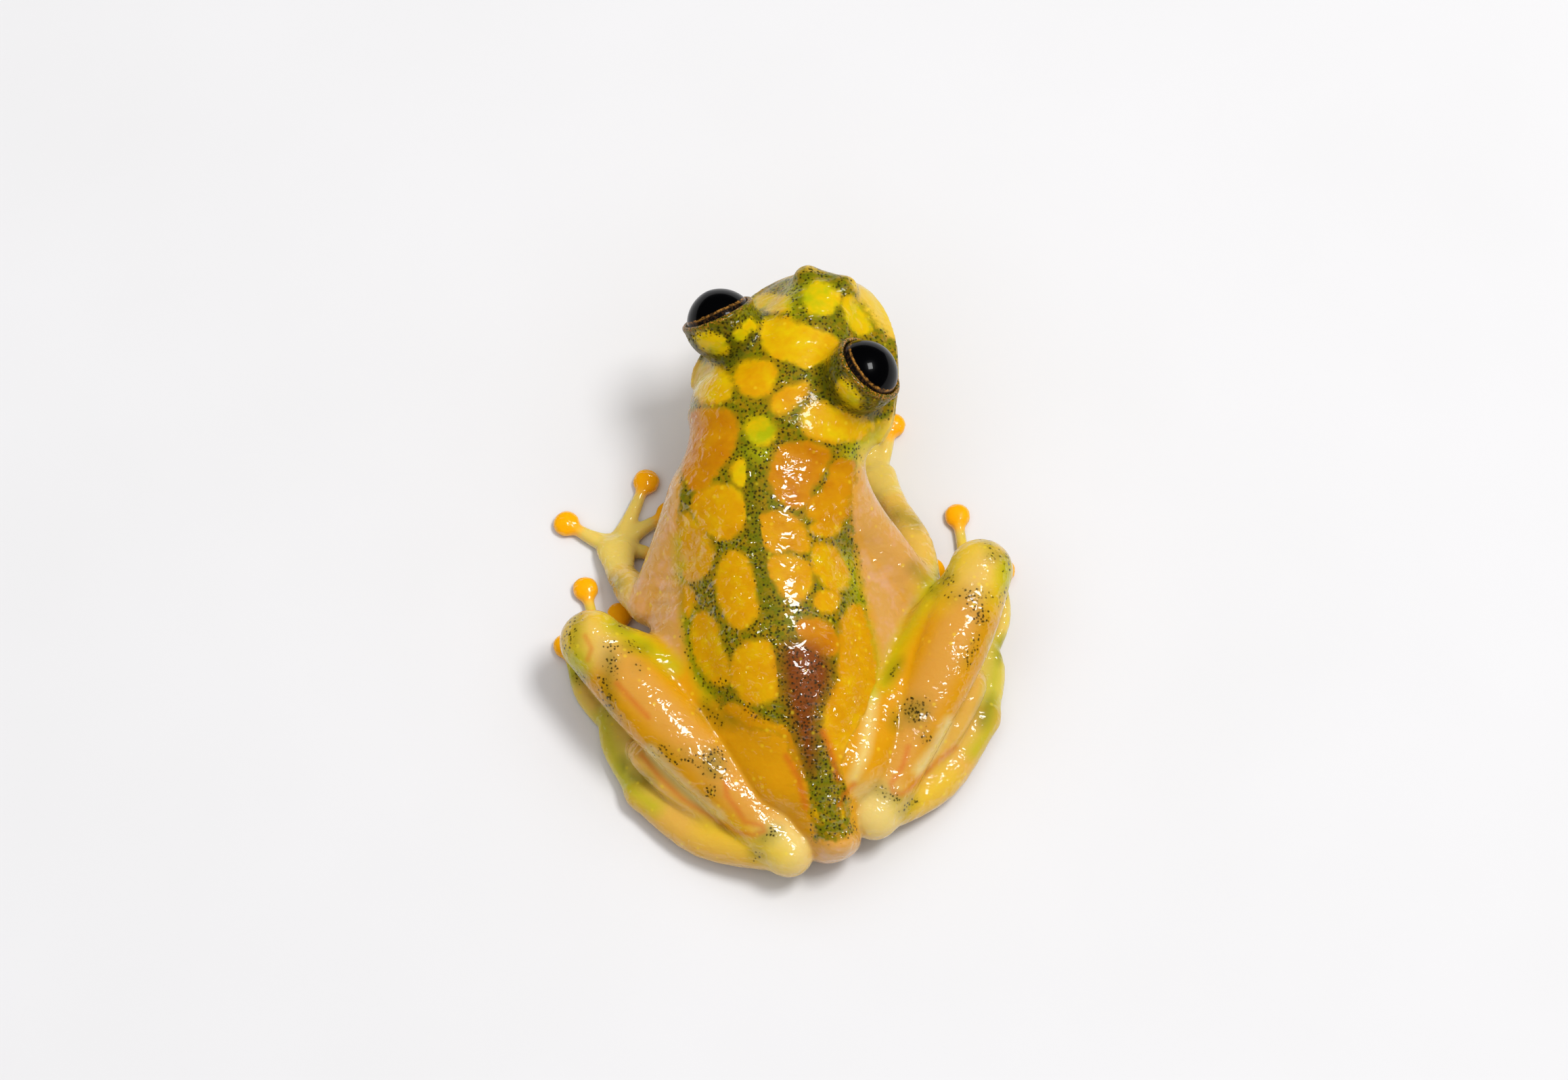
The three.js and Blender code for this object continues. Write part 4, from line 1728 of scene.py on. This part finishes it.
    def build_relief(self, add: Callable, mask: dict, mm: Socket) -> tuple[Socket, Socket]:
        """Make the fine folds of the skin and the film of water on it.

        The film stands in a net of raised lines, and its folds tip the lines in
        and out of the light.

        Args:
            add: add_node for the material.
            mask: sockets of the skin's marks.
            mm: socket with the place in millimetres.

        Returns:
            The sockets with the normals of the skin and of the film.
        """
        broad = {"Vector": mm, "Scale": 1 / self.bend_mm, "Detail": 2.0}
        bent = add("TexNoise", None, broad, "Color")
        warped = add("VectorMath", TIMES_ADD, (bent, (self.bend_reach_mm,) * 3, mm))
        lean = {"Vector": warped, "Rotation": (0, 0, self.lean), "Scale": self.stretch}
        turned = add("Mapping", None, lean)
        mesh = {"Vector": turned, "Scale": 1 / self.grain_mm}
        inside = add("TexVoronoi", {"feature": "DISTANCE_TO_EDGE"}, mesh)
        bowls = add("MapRange", None, (inside, self.ridge, 0.6, 0.0, 1.0))
        waves = {"Vector": turned, "Scale": 1 / self.fold_mm, "Detail": 2.0, "Roughness": 0.5}
        folds = add("TexNoise", None, waves)
        height = {"Height": folds, "Distance": self.skin_depth_mm * MM, "Strength": 0.5}
        skin = add("Bump", None, height)
        depth = add("Math", TIMES_ADD, (mask[Mask.CREASE], 0.6, 0.4))
        height = {"Height": bowls, "Distance": self.grain_depth_mm * MM, "Strength": depth}
        film = add("Bump", {"invert": True}, height)
        depth = add("Math", TIMES_ADD, (mask[Mask.SMOOTH], -0.15, 0.4))
        height = {"Height": folds, "Distance": self.fold_depth_mm * MM, "Strength": depth}
        return skin, add("Bump", None, {**height, "Normal": film})


@dataclass(frozen=True)
class DarkEye:
    """A frog's eye: black pupil, thin gold rim and dark iris under a wet clear cornea.

    It reads as a black bead with one small hard reflection.
    """

    pupil: str = "#030304"
    rim: str = "#a87430"
    iris: str = "#0c0b0b"
    fleck: str = "#b87a34"
    roughness: float = 0.25
    ior: float = 1.38
    specular: float = 0.05
    grain_mm: float = 1 / 9
    coat: float = 0.45
    coat_roughness: float = 0.015
    coat_ior: float = 1.3

    def build(self) -> bpy.types.Material:
        """Make the eye's material.

        Returns:
            The node material.
        """
        material, add = start_material("dark_wet_eye")
        ring = add("Attribute", {"attribute_name": "ring"}, (), "Fac")
        grain = {
            "Vector": in_millimetres(add),
            "Scale": 1 / self.grain_mm,
            "Detail": 4.0,
            "Roughness": 0.65,
        }
        noise = add("TexNoise", None, grain)
        fleck = add("MapRange", EASE, (noise, 0.49, 0.62, 0.0, 0.85))
        near_lid = add("MapRange", EASE, (ring, 1.08, 1.25, 0.1, 1.0))
        shaken = add("Math", TIMES_ADD, (noise, 0.05, ring))
        thin = add("MapRange", EASE, (noise, 0.4, 0.66, 0.1, 1.0))
        colour = lay_colours(
            add,
            self.iris,
            (add("Math", TIMES, (fleck, near_lid)), self.fleck),
            (add("MapRange", EASE, (shaken, 1.035, 1.065, thin, 0.0)), self.rim),
            (add("MapRange", EASE, (shaken, 1.005, 1.02, 1.0, 0.0)), self.pupil),
        )
        values = {
            "Base Color": colour,
            "Roughness": self.roughness,
            "IOR": self.ior,
            "Specular IOR Level": self.specular,
            "Coat Weight": self.coat,
            "Coat Roughness": self.coat_roughness,
            "Coat IOR": self.coat_ior,
        }
        add("OutputMaterial", None, {"Surface": add("BsdfPrincipled", None, values)})
        return material


@dataclass(frozen=True)
class Paper:
    """Plain white paper: matt, very slightly mottled."""

    shade: str = "#dcdbdc"
    fleck: str = "#d7d6d6"
    mottle_mm: float = 1000 / 90
    roughness: float = 0.9
    specular: float = 0.2

    def build(self) -> bpy.types.Material:
        """Make the paper's material.

        Returns:
            The node material.
        """
        material, add = start_material("white_paper")
        place = add("TexCoord", None, (), "Object")
        mottle = {"Vector": place, "Scale": 1 / (self.mottle_mm * MM), "Detail": 4.0}
        noise = add("TexNoise", None, mottle)
        colour = lay_colours(add, self.shade, (noise, self.fleck))
        values = {
            "Base Color": colour,
            "Roughness": self.roughness,
            "Specular IOR Level": self.specular,
        }
        add("OutputMaterial", None, {"Surface": add("BsdfPrincipled", None, values)})
        return material


def make_object(name: str, points: Array, faces: Array, marks: dict) -> bpy.types.Object:
    """Make a smooth mesh object from points in the maker's own millimetres.

    Args:
        name: name of the piece.
        points: an n by 3 array.
        faces: an m by 4 array of point numbers.
        marks: name to one number for each point.

    Returns:
        The object, linked to the scene.
    """
    mesh = bpy.data.meshes.new(name)
    mesh.vertices.add(len(points))
    mesh.vertices.foreach_set("co", ((points - ORIGIN) * MM).astype(np.float32).ravel())
    mesh.loops.add(faces.size)
    mesh.loops.foreach_set("vertex_index", faces.astype(np.int32).ravel())
    mesh.polygons.add(len(faces))
    mesh.polygons.foreach_set("loop_start", np.arange(0, faces.size, 4, dtype=np.int32))
    mesh.polygons.foreach_set("use_smooth", np.ones(len(faces), bool))
    mesh.update(calc_edges=True)
    mesh.validate()
    for label, values in marks.items():
        attribute = mesh.attributes.new(label, "FLOAT", "POINT")
        attribute.data.foreach_set("value", np.asarray(values, np.float32))
    item = bpy.data.objects.new(name, mesh)
    bpy.context.scene.collection.objects.link(item)
    return item


@dataclass
class Skin:
    """The whole skin: trunk, head, arms and legs in one closed mesh."""

    trunk: Trunk
    head: Head
    arms: tuple
    legs: tuple
    finish: WetSkin
    low: tuple = (-8.9, -13.8, -0.35)
    high: tuple = (8.8, 8.7, 8.9)
    leg_blend: float = 0.12
    floor_gap: float = 0.004
    floor_blend: float = 0.06
    longest_move: float = 0.06
    spot_soft: float = 13.0
    warm_mix: float = 9.0

    def build(self) -> bpy.types.Object:
        """Model the skin and mark it.

        Returns:
            The skin's object.
        """
        low, high = np.array(self.low), np.array(self.high)
        clay = Clay(low, high, CELL)
        self.trunk.build(clay)
        self.head.build(clay)
        for arm in self.arms:
            arm.build(clay)
        for leg in self.legs:
            leg.build_upper(clay)
        folded = Clay(low, high, CELL)
        for leg in self.legs:
            leg.build_lower(folded)
        clay.merge(folded, self.leg_blend)
        height = clay.axes[2][None, None, :]
        clay.level = -smooth_min(-clay.level, height - self.floor_gap, self.floor_blend)
        points, faces = clay.surface()
        weave = Weave(faces, len(points))
        points = weave.relax(points, 3)
        for _ in range(2):
            slope = clay.slope(points)
            steep = np.maximum((slope * slope).sum(axis=1), 0.3)
            move = np.clip(clay.sample(points) / steep, -self.longest_move, self.longest_move)
            points = points - slope * move[:, None]
            points = weave.relax(points, 1)
        points[:, 2] = np.maximum(points[:, 2], 0)
        slope = clay.slope(points)
        normals = slope / (np.linalg.norm(slope, axis=1, keepdims=True) + 1e-9)
        near = np.rint((points - clay.low) / clay.cell).astype(int)
        owner = clay.owner[tuple(np.clip(near, 0, np.array(clay.owner.shape) - 1).T)]
        marks = self.mark(points, normals, owner, weave)
        skin = make_object("skin", points, faces, {m.value: v for m, v in marks.items()})
        skin.data.materials.append(self.finish.build())
        return skin

    def mark(self, points: Array, normals: Array, owner: Array, weave: Weave) -> dict:
        """Work out every mark of the skin on its points.

        Args:
            points: the skin's points.
            normals: their outward directions.
            owner: the zone number of each point.
            weave: the points' neighbours.

        Returns:
            Mask to one number for each point.
        """
        u, v = VIEW.project(points)
        seen = smoothstep(normals @ VIEW.axes()[2], -0.02, 0.22)
        drawn = {key: paint(marks, u, v, soft) for key, (marks, soft) in DRAWN.items()}
        zone = {z: weave.soften((owner == z.value).astype(float), 8) for z in Zone}
        body = np.clip(zone[Zone.TRUNK] + zone[Zone.HEAD], 0, 1)
        legs = np.clip(zone[Zone.THIGH] + zone[Zone.SHANK] + zone[Zone.TARSUS], 0, 1)
        hands = np.clip(zone[Zone.HAND] + zone[Zone.FOOT] + zone[Zone.FOREARM] * 0.5, 0, 1)
        top = smoothstep(self.head.own(points)[:, 2], 5.2, 5.9) * zone[Zone.HEAD]
        dorsum = body * (seen * drawn["dorsum"] + (1 - seen) * top)
        spot, warm = self.mark_spots(u, v, seen)
        spot = spot * (1 - smoothstep(drawn["stripe"], 0.35, 0.75))
        lid, hood, dusk = self.mark_lids(points, spot, dorsum)
        pad = self.mark_discs(points)
        net = dorsum * (1 - smoothstep(spot, 0.2, 0.5)) * 0.85
        stripe, edge = drawn["stripe"] * body * seen, drawn["snout"] * body * seen
        dots = drawn["dots"] * seen
        star = np.maximum.reduce([net, stripe, dots, edge, top * (1 - seen) * 0.45, hood])
        lips = zone[Zone.HEAD] * (1 - dorsum)
        cream = drawn["cream"] * seen * 0.85
        balls = self.mark_joints(u, v) * legs
        pale = np.maximum.reduce([balls, hands, lips * 0.7, cream, zone[Zone.TARSUS] * 0.35])
        sides = drawn["flanks"] * seen + 0.7 * (1 - seen)
        flank = body * (1 - dorsum) * (1 - lips) * sides
        crease = body * dorsum * smoothstep(v, 700.0, 800.0)
        smooth = np.maximum(crease * 0.9, zone[Zone.HEAD])
        marks = {
            Mask.DORSUM: dorsum,
            Mask.SPOT: spot,
            Mask.WARM: warm,
            Mask.GREEN: np.maximum(drawn["green"], drawn["haze"] * 0.6) * seen,
            Mask.LIME: drawn["lime"] * seen,
            Mask.BRIGHT: np.maximum.reduce([drawn["bright"] * seen, lips * 0.9, hands * 0.5]),
            Mask.STAR: star * (1 - pad),
            Mask.PURPLE: drawn["purple"] * body * seen,
            Mask.FLUSH: np.maximum(flank, zone[Zone.UPPER_ARM] * 0.9),
            Mask.MUSCLE: self.shank_middle(points) * zone[Zone.SHANK],
            Mask.PALE: pale,
            Mask.PAD: pad,
            Mask.VEIN: drawn["veins"] * seen,
            Mask.UNSEEN: (1 - seen) * body,
            Mask.LID: lid,
            Mask.CREASE: weave.soften(crease, 4),
            Mask.SMOOTH: weave.soften(smooth, 4),
            Mask.DUSK: dusk,
            Mask.GLOSS: 1 - 0.5 * zone[Zone.HEAD],
        }
        return {mask: values * STRENGTH.get(mask, 1) for mask, values in marks.items()}

    def mark_spots(self, u: Array, v: Array, seen: Array) -> tuple[Array, Array]:
        """Mark the spots of the back.

        Args:
            u: pixels to the right.
            v: pixels down.
            seen: how much each point is turned to the camera.

        Returns:
            The spots, and the warmth of the nearest ones.
        """
        reaches = np.array([spot.reach(u, v) for spot in SPOTS])
        weights = np.exp(np.clip(reaches, -80, 30) / self.warm_mix)
        warm = weights.T @ np.array([spot.warm for spot in SPOTS]) / weights.sum(axis=0)
        spot = np.clip(0.5 + reaches.max(axis=0) / (2 * self.spot_soft), 0, 1)
        return spot, np.where(seen > 0.5, warm, 0.3)

    def mark_lids(self, points: Array, spot: Array, dorsum: Array) -> tuple[Array, ...]:
        """Mark the lids.

        Args:
            points: the skin's points.
            spot: the spots.
            dorsum: the patterned skin of the back.

        Returns:
            The margins of the lids, their hoods, and the darkening of both: painted shade on the
            hoods and the dark pigment of the margins.
        """
        lid, hoods, dusk = np.zeros((3, len(points)))
        for side in Side:
            centre, gaze = self.head.eye(side)
            offset = points - centre
            away = np.linalg.norm(offset, axis=1)
            margin = smoothstep(offset @ gaze, 0.2, 0.46) * (away < 1.6)
            hood = (1 - smoothstep(away, 1.5, 1.85)) * (1 - smoothstep(spot, 0.3, 0.6))
            lid = np.maximum(lid, margin)
            hoods = np.maximum(hoods, hood)
            # Painted shade on the hoods where the patterned back runs onto them, and the dark
            # pigment of the lid margins
            dusk = np.maximum.reduce([dusk, hood * dorsum, margin * 1.6])
        return lid, hoods, dusk

    def mark_discs(self, points: Array) -> Array:
        """Mark the discs at the tips of the fingers and toes.

        Args:
            points: the skin's points.

        Returns:
            The mask.
        """
        pad = np.zeros(len(points))
        for digit in (d for part in (*self.arms, *self.legs) for d in part.paw.digits):
            far = np.linalg.norm(points - digit.end, axis=1)
            pad = np.maximum(pad, 1 - smoothstep(far, digit.pad * 0.8, digit.pad * 1.9))
        return pad

    def mark_joints(self, u: Array, v: Array) -> Array:
        """Mark the pale balls of the knees and heels.

        Args:
            u: pixels to the right.
            v: pixels down.

        Returns:
            The mask.
        """
        balls = np.zeros(len(u))
        for (x, y), radius, strength in JOINTS:
            near = 1 - smoothstep(np.hypot(u - x, v - y), radius * 0.35, radius * 1.7)
            balls = np.maximum(balls, strength * near)
        return balls

    def shank_middle(self, points: Array) -> Array:
        """How near each point is to the middle line of a shank, from 0 to 1.

        Args:
            points: the skin's points.

        Returns:
            The mask.
        """
        best = np.zeros(len(points))
        for leg in self.legs:
            line = leg.shank.centres
            for a, b in zip(line, line[1:]):
                run = b - a
                share = np.clip(((points - a) @ run) / (run @ run), 0, 1)
                gap = points - a - share[:, None] * run
                side = np.hypot(gap[:, 0], gap[:, 1])
                best = np.maximum(best, 1 - smoothstep(side, 0.35, 1.0))
        return best


@dataclass
class Eye:
    """One eyeball, turned from its own profile about the direction it looks in."""

    head: Head
    side: Side
    finish: DarkEye
    rings: int = 56
    sides: int = 96
    bulge: float = 0.03
    pupil: tuple[float, float] = (1.1, 1.04)

    def build(self) -> bpy.types.Object:
        """Turn the eyeball.

        Returns:
            The eye's object.
        """
        centre, gaze = self.head.eye(self.side)
        level = np.cross(gaze, self.head.place[:3, 2])
        level /= np.linalg.norm(level)
        rise = np.cross(level, gaze)
        radius = self.head.eye_radius
        polar = np.linspace(0.0, math.pi, self.rings + 1)[1:-1]
        turn = np.linspace(0, 2 * math.pi, self.sides, endpoint=False)
        bulge = self.bulge * np.clip(1 - polar / 0.9, 0, 1) ** 2
        reach = (radius + bulge) * np.sin(polar)
        ahead = (radius + bulge) * np.cos(polar)
        across = reach[:, None] * np.cos(turn)
        upward = reach[:, None] * np.sin(turn)
        points = (
            centre
            + ahead[:, None, None] * gaze
            + across[..., None] * level
            + upward[..., None] * rise
        ).reshape(-1, 3)
        ring = np.hypot(across / self.pupil[0], upward / self.pupil[1])
        ring = np.where(ahead[:, None] > 0, ring, 3.0).ravel()
        row = np.arange(self.sides)
        after = (row + 1) % self.sides
        faces = [
            np.stack([k + row, k + self.sides + row, k + self.sides + after, k + after], axis=1)
            for k in range(0, (len(polar) - 1) * self.sides, self.sides)
        ]
        tips = np.array([centre + (radius + self.bulge) * gaze, centre - radius * gaze])
        count = len(points)
        points = np.vstack([points, tips])
        ring = np.concatenate([ring, [0.0, 3.0]])
        pairs = np.arange(0, self.sides, 2)
        last = count - self.sides
        following = (pairs + 2) % self.sides
        top = np.stack([np.full(len(pairs), count), pairs, pairs + 1, following], axis=1)
        bottom = np.stack(
            [np.full(len(pairs), count + 1), last + following, last + pairs + 1, last + pairs],
            axis=1,
        )
        name = f"eye_{self.side.name.lower()}_ball"
        item = make_object(name, points, np.concatenate([*faces, top, bottom]), {"ring": ring})
        item.data.materials.append(self.finish.build())
        return item


@dataclass
class Studio:
    """The white table and the soft light above it."""

    paper: Paper
    half_size: float = 0.7

    def build_floor(self) -> bpy.types.Object:
        """Lay the paper.

        Returns:
            The floor's object.
        """
        s = self.half_size
        mesh = bpy.data.meshes.new("table_paper")
        corners = [(-s, -s, 0), (s, -s, 0), (s, s, 0), (-s, s, 0)]
        mesh.from_pydata(corners, [], [(0, 1, 2, 3)])
        floor = bpy.data.objects.new("table_paper", mesh)
        bpy.context.scene.collection.objects.link(floor)
        floor.data.materials.append(self.paper.build())
        return floor

    def build_light(
        self, name: str, place: tuple, size: tuple, power: float, mirrored: bool = True
    ) -> None:
        """Hang a soft box that points at the frog.

        Args:
            name: name of the light.
            place: where it hangs, in metres.
            size: its two sides, in metres.
            power: its power in watts.
            mirrored: False for a tent that wet surfaces don't mirror.
        """
        data = bpy.data.lights.new(name, "AREA")
        data.shape = "RECTANGLE"
        data.size, data.size_y = size
        data.energy = power
        light = bpy.data.objects.new(name, data)
        light.location = place
        light.visible_glossy = mirrored
        aim = Vector((0, 0, 0.004)) - Vector(place)
        light.rotation_euler = aim.to_track_quat("-Z", "Y").to_euler()
        bpy.context.scene.collection.objects.link(light)

    def build_sky(self, strength: float) -> None:
        """Fill the room with even white light.

        Args:
            strength: how bright the walls are.
        """
        world = bpy.data.worlds.new("white_room")
        world.use_nodes = True
        world.node_tree.nodes.clear()
        tree = world.node_tree
        glow = add_node(tree, "Background", None, (linear("#fbfcff"), strength))
        add_node(tree, "OutputWorld", None, {"Surface": glow})
        world.cycles_visibility.glossy = False
        bpy.context.scene.world = world
        bpy.context.scene.view_settings.view_transform = "Standard"


def main() -> None:
    """Build every piece in order and report it."""
    logging.basicConfig(level=logging.INFO, format="%(message)s")
    log = logging.getLogger("glass_frog")
    studio = Studio(Paper())
    studio.build_floor()
    studio.build_light("soft_box", (0.13, 0.035, 0.33), (0.12, 0.085), 0.8)
    studio.build_light("tent", (0.0, 0.0, 0.9), (2.2, 2.2), 11.8, mirrored=False)
    studio.build_sky(0.26)
    VIEW.build()
    log.info("studio and camera ready")

    head = Head()
    skin = Skin(Trunk(), head, ARMS, LEGS, WetSkin()).build()
    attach(skin, "root")
    flesh = [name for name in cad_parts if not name.startswith("eye_")]
    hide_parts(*flesh)
    log.info("skin: %d faces", len(skin.data.polygons))

    finish = DarkEye()
    for side in Side:
        eye = Eye(head, side, finish).build()
        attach(eye, "root")
        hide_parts(f"eye_{side.name.lower()}")
        log.info("%s: %d faces", eye.name, len(eye.data.polygons))


if __name__ == "__main__":
    main()
